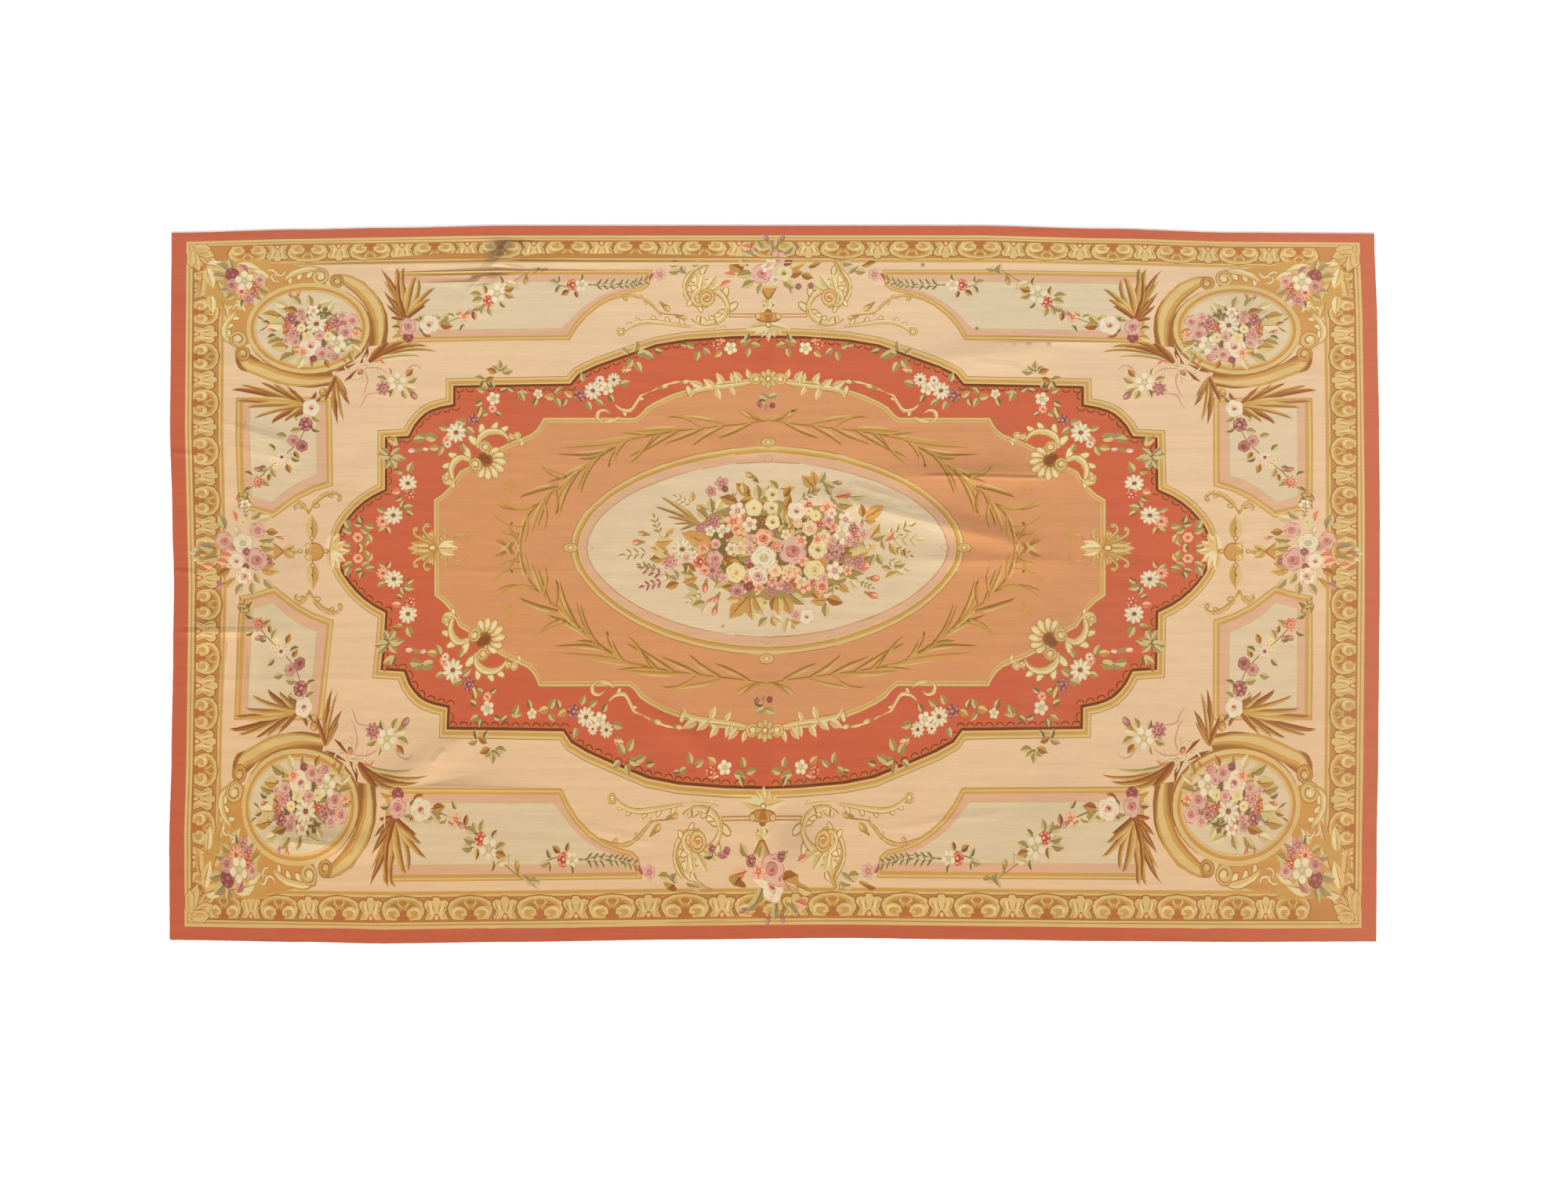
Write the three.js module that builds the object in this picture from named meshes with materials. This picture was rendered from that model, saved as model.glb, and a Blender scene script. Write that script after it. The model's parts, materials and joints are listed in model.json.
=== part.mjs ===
// An Aubusson rug: one flat tapestry-woven sheet, lying on a floor with the low folds
// that a packed rug keeps. Millimetres, +Z up, origin on the floor under the rug's middle.
import * as THREE from 'three';

// Driving sizes
const rugLength = 3088; // along X, over the furthest points of the two short edges
const rugWidth = 1832; // along Y, over the furthest points of the two long edges
const clothThickness = 3;
const rugColour = 0xd99a68;

// How far each edge draws in from that outline. at runs from -1 to 1 along the edge.
const longEdges = [
  { at: -1.0, top: 18, bottom: 9 },
  { at: -0.78, top: 10, bottom: 4 },
  { at: -0.65, top: 6, bottom: 0 },
  { at: -0.43, top: 0, bottom: 4 },
  { at: -0.15, top: 0, bottom: 10 },
  { at: 0.11, top: 0, bottom: 14 },
  { at: 0.33, top: 0, bottom: 10 },
  { at: 0.55, top: 8, bottom: 6 },
  { at: 0.77, top: 18, bottom: 4 },
  { at: 1.0, top: 20, bottom: 5 },
];
const shortEdges = [
  { at: -1.0, left: 1, right: 9 },
  { at: -0.73, left: 0, right: 8 },
  { at: -0.47, left: 6, right: 4 },
  { at: -0.2, left: 10, right: 2 },
  { at: 0.0, left: 12, right: 0 },
  { at: 0.19, left: 8, right: 0 },
  { at: 0.45, left: 2, right: 2 },
  { at: 0.71, left: 4, right: 6 },
  { at: 1.0, left: 6, right: 14 },
];

// The folds: each is a soft ridge along a straight run, half of its width and its height.
const folds = [
  { fromX: 90, fromY: 232, toX: 400, toY: 166, half: 44, height: 10 },
  { fromX: 340, fromY: 182, toX: 660, toY: 96, half: 48, height: 12 },
  { fromX: 330, fromY: 280, toX: 720, toY: 282, half: 40, height: 8 },
  { fromX: 330, fromY: 66, toX: 760, toY: 58, half: 42, height: 5 },
  { fromX: -1530, fromY: -118, toX: -1250, toY: -122, half: 44, height: 6 },
  { fromX: -770, fromY: 720, toX: -640, toY: 880, half: 62, height: 9 },
  { fromX: -1270, fromY: -648, toX: -1030, toY: -672, half: 52, height: 10 },
  { fromX: -18, fromY: 640, toX: -16, toY: 330, half: 52, height: 4 },
  { fromX: -16, fromY: -260, toX: -20, toY: -640, half: 52, height: 5 },
  { fromX: 380, fromY: 560, toX: 690, toY: 610, half: 60, height: 6 },
  { fromX: -1040, fromY: -560, toX: -790, toY: -390, half: 60, height: 7 },
  { fromX: -330, fromY: -300, toX: -150, toY: -450, half: 54, height: 6 },
  { fromX: -1380, fromY: 420, toX: -1240, toY: 330, half: 50, height: 5 },
];

// The cloth lies flat on the floor inside this rectangle. The strip outside it follows the
// uneven outline and curls up a little.
const flatZone = { x: 1430, y: 806 };
const edgeCurl = 1;

// Grid lines, from one edge to the other: small facets over the folds, large where it is flat.
const columnRuns = [
  { to: -flatZone.x, step: 114 },
  { to: -1240, step: 34 },
  { to: -790, step: 112 },
  { to: -620, step: 34 },
  { to: -78, step: 108 },
  { to: 44, step: 41 },
  { to: 80, step: 36 },
  { to: 780, step: 36 },
  { to: flatZone.x, step: 108 },
  { to: rugLength / 2, step: 114 },
];
const rowRuns = [
  { to: -flatZone.y, step: 110 },
  { to: -720, step: 43 },
  { to: -610, step: 34 },
  { to: -166, step: 89 },
  { to: -74, step: 31 },
  { to: 20, step: 47 },
  { to: 320, step: 34 },
  { to: 620, step: 75 },
  { to: flatZone.y, step: 62 },
  { to: rugWidth / 2, step: 110 },
];

const smooth = (t) => t * t * (3 - 2 * t);

// A column of an edge table, read smoothly at any place along the edge.
function edgeAt(table, column, at) {
  const next = table.findIndex((row) => row.at >= at);
  if (next <= 0) return table[next < 0 ? table.length - 1 : 0][column];
  const [low, high] = [table[next - 1], table[next]];
  const share = smooth((at - low.at) / (high.at - low.at));
  return low[column] + share * (high[column] - low[column]);
}

// How far a place is into the edge strip: 0 in the flat zone and 1 at the edge.
function edgeShare(place, flat, half) {
  return Math.max(0, (Math.abs(place) - flat) / (half - flat));
}

// A point of the true rectangle, drawn in to the rug's uneven outline.
function onOutline(x, y) {
  const [halfX, halfY] = [rugLength / 2, rugWidth / 2];
  const drawnX = x < 0 ? edgeAt(shortEdges, 'left', y / halfY) : -edgeAt(shortEdges, 'right', y / halfY);
  const drawnY = y < 0 ? edgeAt(longEdges, 'bottom', x / halfX) : -edgeAt(longEdges, 'top', x / halfX);
  const [shareX, shareY] = [edgeShare(x, flatZone.x, halfX), edgeShare(y, flatZone.y, halfY)];
  return [x + drawnX * shareX, y + drawnY * shareY, edgeCurl * Math.max(shareX, shareY)];
}

// How far the cloth stands off the floor: the highest of the folds there, and 0 between them.
function liftAt(x, y) {
  let lift = 0;
  for (const fold of folds) {
    const [runX, runY] = [fold.toX - fold.fromX, fold.toY - fold.fromY];
    const along = ((x - fold.fromX) * runX + (y - fold.fromY) * runY) / (runX ** 2 + runY ** 2);
    const held = Math.min(1, Math.max(0, along));
    const away = Math.hypot(x - fold.fromX - held * runX, y - fold.fromY - held * runY);
    if (away < fold.half) {
      const crown = Math.cos((Math.PI / 2) * (away / fold.half)) ** 2;
      const fade = Math.sin(Math.PI * (0.12 + 0.76 * held));
      lift = Math.max(lift, fold.height * crown * fade);
    }
  }
  return lift;
}

// Evenly spaced lines along each run of a table, from the edge at -size / 2.
function gridLines(size, runs) {
  const lines = [-size / 2];
  for (const run of runs) {
    const from = lines.at(-1);
    const count = Math.max(1, Math.round((run.to - from) / run.step));
    for (let i = 1; i <= count; i++) lines.push(from + ((run.to - from) * i) / count);
  }
  return lines;
}

function sheetGeometry() {
  const columns = gridLines(rugLength, columnRuns);
  const rows = gridLines(rugWidth, rowRuns);
  const [across, down] = [columns.length, rows.length];
  const places = [];
  const faces = [];
  const quad = (a, b, c, d) => faces.push(a, b, c, a, c, d);
  for (const side of [clothThickness, 0]) {
    for (const row of rows) {
      for (const column of columns) {
        const [x, y, curl] = onOutline(column, row);
        places.push(x, y, Math.max(curl, liftAt(x, y)) + side);
      }
    }
  }
  const top = (i, j) => j * across + i;
  const under = (i, j) => top(i, j) + across * down;
  for (let j = 0; j < down - 1; j++) {
    for (let i = 0; i < across - 1; i++) {
      quad(top(i, j), top(i + 1, j), top(i + 1, j + 1), top(i, j + 1));
      quad(under(i, j), under(i, j + 1), under(i + 1, j + 1), under(i + 1, j));
    }
  }
  const wall = (i, j, nextI, nextJ) => quad(under(i, j), under(nextI, nextJ), top(nextI, nextJ), top(i, j));
  for (let i = 0; i < across - 1; i++) {
    wall(i, 0, i + 1, 0);
    wall(i + 1, down - 1, i, down - 1);
  }
  for (let j = 0; j < down - 1; j++) {
    wall(across - 1, j, across - 1, j + 1);
    wall(0, j + 1, 0, j);
  }
  const geometry = new THREE.BufferGeometry();
  geometry.setAttribute('position', new THREE.Float32BufferAttribute(places, 3));
  geometry.setIndex(faces);
  geometry.computeVertexNormals();
  return geometry;
}

const rugMaterial = new THREE.MeshStandardMaterial({ color: rugColour, roughness: 0.95, metalness: 0 });
const sheet = new THREE.Mesh(sheetGeometry(), rugMaterial);
sheet.name = 'rug_sheet';

const rug = new THREE.Group();
rug.add(sheet);

export default rug;
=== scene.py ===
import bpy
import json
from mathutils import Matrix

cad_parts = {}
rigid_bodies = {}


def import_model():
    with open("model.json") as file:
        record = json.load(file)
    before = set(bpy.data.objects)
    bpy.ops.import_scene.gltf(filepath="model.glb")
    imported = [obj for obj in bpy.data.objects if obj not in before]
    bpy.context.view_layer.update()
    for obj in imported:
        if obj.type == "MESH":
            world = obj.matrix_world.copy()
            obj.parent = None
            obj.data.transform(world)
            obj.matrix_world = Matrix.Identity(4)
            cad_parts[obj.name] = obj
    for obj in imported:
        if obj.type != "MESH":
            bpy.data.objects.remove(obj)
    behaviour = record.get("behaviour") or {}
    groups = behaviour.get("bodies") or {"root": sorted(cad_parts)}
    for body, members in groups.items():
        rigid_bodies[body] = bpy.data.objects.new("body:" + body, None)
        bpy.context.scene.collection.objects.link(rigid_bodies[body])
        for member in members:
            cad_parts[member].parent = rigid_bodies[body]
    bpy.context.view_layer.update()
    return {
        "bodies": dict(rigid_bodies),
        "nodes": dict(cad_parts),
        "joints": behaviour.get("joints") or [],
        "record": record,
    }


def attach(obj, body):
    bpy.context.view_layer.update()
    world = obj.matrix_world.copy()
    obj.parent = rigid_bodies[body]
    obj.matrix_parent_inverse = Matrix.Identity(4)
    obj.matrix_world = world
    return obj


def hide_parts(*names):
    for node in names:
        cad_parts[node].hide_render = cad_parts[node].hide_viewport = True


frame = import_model()
print("frame loaded", flush=True)

import json
import math
import random

import bmesh
import bpy
from mathutils import Vector
from mathutils.bvhtree import BVHTree
from mathutils.geometry import delaunay_2d_cdt

# The cartoon is drawn in 2 mm squares, x to the right and y down, for the upper left
# quarter. The other three quarters are the same cartoon turned over its two middle lines.
# Its rows get further apart downwards, by "growth".
cartoon = {"middleX": 987, "middleY": 704, "square": 2.0, "rugX": -2.0, "rugY": 84.0,
           "row": 455.5, "rowSquared": 207480.0, "growth": 41.5, "raised": 0.0}
# how far the middle line leans to the left, and where that ends
leaning = {"top": 14.0, "below": 24.0, "reach": 700.0, "ends": 800.0, "fades": 30.0, "halfWidth": 908.0}
rugSize = {"halfX": 1544.0, "halfY": 916.0, "borderX": 1538.0, "thickness": 3.0}

usualPull = {"top": 4, "bottom": 6, "left": 4, "right": 8}
# at, top, bottom: how far the long edges draw in, in millimetres
longEdges = [(-1.0, 18, 9), (-0.78, 10, 4), (-0.65, 6, 0), (-0.43, 0, 4), (-0.15, 0, 10),
             (0.11, 0, 14), (0.33, 0, 10), (0.55, 8, 6), (0.77, 18, 4), (1.0, 20, 5)]
# at, left, right
shortEdges = [(-1.0, 1, 9), (-0.73, 0, 8), (-0.47, 6, 4), (-0.2, 10, 2), (0.0, 12, 0),
              (0.19, 8, 0), (0.45, 2, 2), (0.71, 4, 6), (1.0, 6, 14)]

# at, how far the pattern is drawn to the left there: in the right half, and in the lower left
rightPull = [(0, 0), (120, 2), (260, 10), (480, 17), (600, 23), (800, 21), (960, 12), (1120, 6), (1280, 5),
             (1400, 0)]
lowLeftPull = [(0, 0), (200, 9), (340, 13), (540, 13), (830, 16), (980, 27), (1220, 25), (1370, 9),
               (1480, 0)]
pulled = {"ends": 0.9, "fades": 0.05, "lowStart": 0.15, "lowGrows": 0.35}
# at, how far the inner field sits higher there, while cartoon["raised"] is 1
innerLift = [(-0.3, 0), (0.0, 9), (0.12, 19), (0.35, 22), (0.5, 25), (0.7, 26)]


def smooth(t):
    t = min(1.0, max(0.0, t))
    return t * t * (3 - 2 * t)


def edgeAt(table, column, at):
    for low, high in zip(table, table[1:]):
        if at <= high[0]:
            share = smooth((at - low[0]) / (high[0] - low[0]))
            return low[column] + share * (high[column] - low[column])
    return table[-1][column]


def onRug(x, y, side=1, end=1):
    # a place on the cartoon, to millimetres on the rug: the rows are packed tighter
    # towards the top, the middle line leans, and the edges pull in and out
    across = cartoon["square"] * (x - cartoon["middleX"]) * side
    deep = cartoon["rowSquared"] + 4 * cartoon["growth"] * (y - cartoon["middleY"])
    down = end * (math.sqrt(deep) - cartoon["row"]) / (2 * cartoon["growth"])
    lean = -leaning["top"] - leaning["below"] * max(0.0, down) ** 1.5
    fading = smooth((leaning["ends"] - leaning["halfWidth"] * abs(down)) / leaning["fades"])
    lean *= math.exp(-(across / leaning["reach"]) ** 2) * fading
    rugX = across + cartoon["rugX"] + lean
    rugY = cartoon["rugY"] - 2 * cartoon["row"] * down - 2 * cartoon["growth"] * down * down
    rugY += cartoon["raised"] * edgeAt(innerLift, 1, down)
    inside = smooth((pulled["ends"] - abs(down)) / pulled["fades"])
    if across > 0:
        rugX -= edgeAt(rightPull, 1, across) * inside
    elif down > 0:
        lower = smooth((down - pulled["lowStart"]) / pulled["lowGrows"])
        rugX -= edgeAt(lowLeftPull, 1, -across) * inside * lower
    alongX, alongY = rugX / rugSize["halfX"], rugY / rugSize["halfY"]
    nearX, nearY = min(1, abs(across) / rugSize["borderX"]) ** 2, min(1, abs(down)) ** 2
    if down < 0:
        rugY += (usualPull["top"] - edgeAt(longEdges, 1, alongX)) * nearY
    else:
        rugY += (edgeAt(longEdges, 2, alongX) - usualPull["bottom"]) * nearY
    if across < 0:
        rugX += (edgeAt(shortEdges, 1, alongY) - usualPull["left"]) * nearX
    else:
        rugX += (usualPull["right"] - edgeAt(shortEdges, 2, alongY)) * nearX
    return (rugX, rugY)


# dye, by name
dyes = {
    "redBand": "c86749", "ground": "c6884c", "groundDark": "b8723e", "goldPale": "dcbc7c",
    "gold": "cd9e56", "goldDeep": "b98440", "goldShade": "a5703a", "field": "e8c59d",
    "fieldEdge": "e6c399", "pinkBand": "deaf8d", "panel": "dec8a3", "panelEdge": "d2b684",
    "lace": "7d3e22", "laceLoop": "c0783b", "ring": "cd6645", "salmon": "d89766",
    "oval": "e1c9a5", "ovalLine": "c39858", "ochre": "cf9751", "ochreDeep": "b97737",
    "white": "ecdcb8", "whiteShade": "cab78e", "cream": "e9d5a2", "creamShade": "cdb376",
    "pinkPale": "e0b49d", "pink": "cf8c7c", "pinkDeep": "b66059",
    "mauvePale": "cf9c8a", "mauve": "b9776c", "mauveDeep": "96514d",
    "coralPale": "efb891", "coral": "dc8260", "coralDeep": "b14e39",
    "yellow": "ecd193", "yellowDeep": "cf9a4e", "heart": "8c392a",
    "leafPale": "cfba80", "leaf": "a98d51", "leafDark": "836a3d",
    "greyLeaf": "a89064", "greyLeafDark": "7c6a47",
    "strawPale": "ddbf7d", "straw": "c0934b", "strawDark": "9b6a36",
    "brown": "8f522e", "bark": "a56835",
}

# pale, middle, deep
palettes = {"white": ("white", "whiteShade", "leafPale"), "cream": ("cream", "creamShade", "strawDark"),
    "pink": ("pinkPale", "pink", "pinkDeep"), "blush": ("white", "pinkPale", "pinkDeep"),
    "mauve": ("mauvePale", "mauve", "mauveDeep"), "coral": ("coralPale", "coral", "coralDeep"),
    "yellow": ("cream", "yellow", "yellowDeep"), "plum": ("mauve", "mauveDeep", "mauveDeep"),
    "leaf": ("leafPale", "leaf", "leafDark"), "grey": ("leafPale", "greyLeaf", "greyLeafDark"),
    "straw": ("strawPale", "straw", "strawDark"), "bark": ("straw", "bark", "brown"),
    "scroll": ("cream", "goldPale", "goldDeep"), "gold": ("goldPale", "gold", "goldShade"),
    "pale": ("cream", "leafPale", "leaf"), "wheat": ("goldPale", "gold", "goldDeep"), }

shapes = []


class Pen:
    # draws on the cartoon from its own origin, and in each quarter it is told to
    def __init__(self, quarters=((1, 1),), frame=(1, 0, 0, 1, 0, 0)):
        self.quarters, self.frame = quarters, frame

    def at(self, x, y, turn=0, wide=1.0, tall=None):
        tall = wide if tall is None else tall
        cos, sin = math.cos(math.radians(turn)), math.sin(math.radians(turn))
        a, b, c, d, e, f = self.frame
        ownX, ownY = (cos * wide, sin * wide), (-sin * tall, cos * tall)
        return Pen(self.quarters, (
            a * ownX[0] + c * ownX[1], b * ownX[0] + d * ownX[1],
            a * ownY[0] + c * ownY[1], b * ownY[0] + d * ownY[1],
            a * x + c * y + e, b * x + d * y + f))

    def fill(self, dye, points):
        a, b, c, d, e, f = self.frame
        tint = int(7.3 * e + 3.1 * f) % 5 - 2 if e or f else 0
        for side, end in self.quarters:
            placed = [onRug(a * x + c * y + e, b * x + d * y + f, side, end) for x, y in points]
            shapes.append((dye, placed, tint))

    def line(self, dye, path, *widths, steps=4):
        self.fill(dye, stroke(curve(path, steps), widths))


def oval(x, y, rx, ry=None, turn=0, points=12):
    ry = rx if ry is None else ry
    cos, sin = math.cos(math.radians(turn)), math.sin(math.radians(turn))
    ring = []
    for i in range(points):
        angle = 2 * math.pi * i / points
        along, away = rx * math.cos(angle), ry * math.sin(angle)
        ring.append((x + cos * along - sin * away, y + sin * along + cos * away))
    return ring


def scallops(r, lobes, depth, turn=0, perLobe=4):
    ring = []
    for i in range(lobes * perLobe):
        swell = abs(math.sin(math.pi * i / perLobe))
        angle = math.radians(turn) + 2 * math.pi * i / (lobes * perLobe)
        reach = r * (1 - depth + depth * swell)
        ring.append((reach * math.cos(angle), reach * math.sin(angle)))
    return ring


def curve(path, steps=4):
    # a smooth line through the points of the path
    if len(path) < 3:
        return list(path)
    ends = [path[0]] + list(path) + [path[-1]]
    line = []
    for p, q, r, s in zip(ends, ends[1:], ends[2:], ends[3:]):
        for i in range(steps):
            t = i / steps
            line.append(tuple(0.5 * (2 * q[k] + (r[k] - p[k]) * t
                              + (2 * p[k] - 5 * q[k] + 4 * r[k] - s[k]) * t * t
                              + (3 * q[k] - p[k] - 3 * r[k] + s[k]) * t * t * t) for k in (0, 1)))
    return line + [path[-1]]


def stroke(line, widths):
    # the outline of a brush stroke whose width runs through the list of widths
    left, right = [], []
    for i, (x, y) in enumerate(line):
        before, after = line[max(0, i - 1)], line[min(len(line) - 1, i + 1)]
        runX, runY = after[0] - before[0], after[1] - before[1]
        run = math.hypot(runX, runY) or 1
        place = i / (len(line) - 1) * (len(widths) - 1)
        low = min(int(place), len(widths) - 2) if len(widths) > 1 else 0
        width = widths[low] if len(widths) == 1 else (widths[low] + (place - low) * (widths[low
            + 1] - widths[low]))
        offX, offY = -runY / run * width / 2, runX / run * width / 2
        left.append((x + offX, y + offY))
        right.append((x - offX, y - offY))
    return left + right[::-1]


def arc(x, y, rx, ry, start, stop, points=10):
    angles = [math.radians(start + (stop - start) * i / (points - 1)) for i in range(points)]
    return [(x + rx * math.cos(a), y + ry * math.sin(a)) for a in angles]


def inset(path, by):
    # an open quarter outline moved towards the middle; its ends stay on the middle lines
    moved = []
    for i, (x, y) in enumerate(path):
        turns = []
        for p, q in ((path[i - 1], path[i]) if i else (None, None), (path[i], path[i
                + 1]) if i < len(path) - 1 else (None, None)):
            if p:
                run = math.hypot(q[0] - p[0], q[1] - p[1])
                turns.append(((q[1] - p[1]) / run, -(q[0] - p[0]) / run))
        if i == 0:
            moved.append((x, y + by / max(0.4, abs(turns[0][1]))))
        elif i == len(path) - 1:
            moved.append((x + by / max(0.4, abs(turns[0][0])), y))
        else:
            (ax, ay), (bx, by2) = turns
            square = 1 + ax * bx + ay * by2
            moved.append((x - (ax + bx) * by / square * -1, y - (ay + by2) * by / square * -1))
    return moved


def fillAround(dye, path):
    # a closed outline from one quarter of it, given from the top middle to the left middle
    loop = [onRug(x, y, 1, 1) for x, y in path]
    loop += [onRug(x, y, 1, -1) for x, y in path[-2::-1]]
    loop += [onRug(x, y, -1, -1) for x, y in path[1:]]
    loop += [onRug(x, y, -1, 1) for x, y in path[-2:0:-1]]
    shapes.append((dye, loop, 0))


def dense(path, step=14):
    line = []
    for (ax, ay), (bx, by) in zip(path, path[1:]):
        count = max(1, int(math.hypot(bx - ax, by - ay) / step))
        line += [(ax + (bx - ax) * i / count, ay + (by - ay) * i / count) for i in range(count)]
    return line + [path[-1]]


every = ((1, 1), (-1, 1), (1, -1), (-1, -1))
upDown = ((1, 1), (1, -1))
sides = ((1, 1), (-1, 1))
one = ((1, 1),)


# Flowers, leaves and scrolls, each round its own origin

def ring(pen, dye, count, reach, long, wide, first, rng, loose=8, points=8):
    # petals, or the lights on them, set round the origin
    for i in range(count):
        turn = first + i * 360 / count + rng.uniform(-loose, loose)
        far = reach * rng.uniform(0.94, 1.06)
        pen.at(0, 0, turn).fill(dye, oval(far, 0, long, wide, 0, points))


def folded(pen, dye, reach, start, stop, width):
    # the dark or light line of a petal's rolled edge
    pen.fill(dye, stroke(arc(0, 0, reach, reach * 0.93, start, stop, 6), (0.02, width, 0.02)))


def rose(pen, r, palette, seed=0):
    pale, middle, deep = palettes[palette]
    rng = random.Random(seed)
    first = rng.uniform(0, 60)
    pen.fill(middle, scallops(r * 1.03, 6, 0.12, first))
    ring(pen, pale, 6, 0.62 * r, 0.33 * r, 0.42 * r, first + 30, rng)
    for i in range(3):
        start = first + i * 120 + rng.uniform(-20, 20)
        folded(pen, deep, 0.74 * r, start, start + 48, 0.09 * r)
    pen.fill(middle, oval(0.02 * r, 0.03 * r, 0.52 * r, 0.47 * r, 20, 10))
    folded(pen, pale, 0.42 * r, first + 150, first + 300, 0.15 * r)
    folded(pen, deep, 0.5 * r, first, first + 120, 0.1 * r)
    folded(pen, deep, 0.3 * r, first + 170, first + 330, 0.1 * r)
    pen.fill(deep, oval(0.04 * r, 0.05 * r, 0.2 * r, 0.17 * r, 0, 7))
    folded(pen, pale, 0.17 * r, first + 20, first + 170, 0.08 * r)


def openRose(pen, r, palette, seed=0):
    # an open pale rose: broad outer petals round a small dark heart
    pale, middle, deep = palettes[palette]
    rng = random.Random(seed)
    first = rng.uniform(0, 72)
    pen.fill(middle, scallops(r * 1.04, 5, 0.14, first))
    ring(pen, pale, 5, 0.57 * r, 0.38 * r, 0.48 * r, first + 36, rng, 8, 9)
    for i in range(4):
        start = first + i * 90 + rng.uniform(-20, 20)
        folded(pen, middle, 0.62 * r, start, start + 62, 0.09 * r)
    pen.fill(middle, oval(0, 0, 0.36 * r, 0.32 * r, 0, 9))
    pen.fill(deep, oval(0.02 * r, 0.04 * r, 0.22 * r, 0.18 * r, 0, 8))
    folded(pen, pale, 0.15 * r, first + 170, first + 330, 0.09 * r)
    folded(pen, deep, 0.4 * r, first + 200, first + 290, 0.06 * r)


def daisy(pen, r, palette, seed=0, petals=10):
    pale, middle, deep = palettes[palette]
    rng = random.Random(seed)
    first = rng.uniform(0, 36)
    pen.fill(middle, scallops(r * 0.96, petals, 0.2, first))
    ring(pen, pale, petals, 0.6 * r, 0.4 * r, 1.36 * r / petals, first + 180 / petals, rng, 4, 7)
    pen.fill(middle, oval(0, 0, 0.32 * r, 0.3 * r, 0, 8))
    middleDye = "heart" if palette in ("white", "blush", "pink") else deep
    pen.fill(middleDye, oval(0, 0, 0.22 * r, 0.19 * r, 0, 7))
    pen.fill("yellowDeep", oval(0, 0, 0.08 * r, 0.07 * r, 0, 5))


def bloom(pen, r, palette, seed=0, petals=5):
    # broad separate petals, each lighter on its lip, round a small dark star
    pale, middle, deep = palettes[palette]
    rng = random.Random(seed)
    first = rng.uniform(0, 72)
    ring(pen, middle, petals, 0.57 * r, 0.45 * r, 2.15 * r / petals, first, random.Random(seed), 6, 9)
    ring(pen, pale, petals, 0.66 * r, 0.34 * r, 1.72 * r / petals, first, random.Random(seed), 6, 8)
    for i in range(petals):
        held = pen.at(0, 0, first + i * 360 / petals + rng.uniform(-9, 9))
        held.fill(deep, stroke([(0, 0), (0.42 * r, 0)], (0.2 * r, 0.02)))
    pen.fill("yellow", oval(0, 0, 0.13 * r, 0.12 * r, 0, 6))


def carnation(pen, r, palette, seed=0):
    # ruffles inside one another
    pale, middle, deep = palettes[palette]
    rng = random.Random(seed)
    for reach, lobes, dye in ((1.0, 8, middle), (0.86, 9, pale), (0.66, 8, deep), (0.58, 7, middle),
            (0.42, 7, pale), (0.26, 6, deep), (0.18, 5, middle)):
        off = 0.06 * r * rng.uniform(-1, 1)
        pen.at(off, off, rng.uniform(0, 90)).fill(dye, scallops(r * reach, lobes, 0.3, 0, 3))


def cluster(pen, r, palette, seed=0):
    # a head of small florets
    pale, middle, deep = palettes[palette]
    rng = random.Random(seed)
    pen.fill(deep, scallops(r * 0.96, 7, 0.16, 0, 3))
    ring(pen, middle, 7, 0.68 * r, 0.27 * r, 0.25 * r, 0, rng, 9, 6)
    ring(pen, pale, 4, 0.66 * r, 0.17 * r, 0.15 * r, rng.uniform(0, 90), rng, 20, 5)
    pen.fill(pale, oval(0.1 * r, 0.02 * r, 0.24 * r, 0.22 * r, 0, 6))


def bud(pen, r, palette):
    pale, middle, deep = palettes[palette]
    pen.fill("leaf", stroke([(-1.3 * r, 0), (0.2 * r, 0)], (0.25 * r, 1.1 * r)))
    pen.fill(deep, oval(0.3 * r, 0, 0.75 * r, 0.5 * r, 0, 9))
    pen.fill(middle, oval(0.36 * r, 0, 0.68 * r, 0.42 * r, 0, 9))
    pen.fill(pale, oval(0.5 * r, -0.12 * r, 0.46 * r, 0.2 * r, 0, 7))


def leaf(pen, length, width, palette):
    # from its stalk at the origin to a point along x; the longer ones show their veins
    pale, middle, deep = palettes[palette]
    half = [(0.0, 0.0), (0.14, 0.36), (0.36, 0.54), (0.6, 0.5), (0.82, 0.26), (1.0, 0.0)]
    if length < 12:
        half = [(0.0, 0.0), (0.3, 0.5), (0.7, 0.44), (1.0, 0.0)]
    upper = [(x * length, -y * width) for x, y in half]
    lower = [(x * length, y * width) for x, y in half]
    pen.fill(middle if length > 12 else deep, upper + lower[-2:0:-1])
    pen.fill(pale, upper[1:] + [(0.1 * length, -0.02 * width)])
    if length > 12:
        pen.fill(deep, stroke([(-0.08 * length, 0), (0.45 * length, 0.03 * width), (0.92 * length, 0)],
            (0.07 * width + 0.35, 0.1 * width, 0.05)))
    for x in (0.3, 0.56) if length > 20 else ():
        vein = [(x * length, 0), ((x + 0.14) * length, 0.3 * width * (1.2 - x))]
        pen.fill(deep, stroke(vein, (0.08 * width, 0.05)))


def thicket(pen, x, y, rx, ry, count, dark, seed):
    # leaves of mixed dyes that fill the gaps of a bouquet, pointing outward
    rng = random.Random(seed)
    for i in range(count):
        turn, far = i * 360 / count + rng.uniform(-14, 14), rng.uniform(0.3, 1.0)
        placeX = x + rx * far * math.cos(math.radians(turn))
        placeY = y + ry * far * math.sin(math.radians(turn))
        size = rng.uniform(11, 17)
        leaf(pen.at(placeX, placeY, turn + rng.uniform(-40, 40)), size, size * 0.56, rng.choice(dark))


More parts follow.
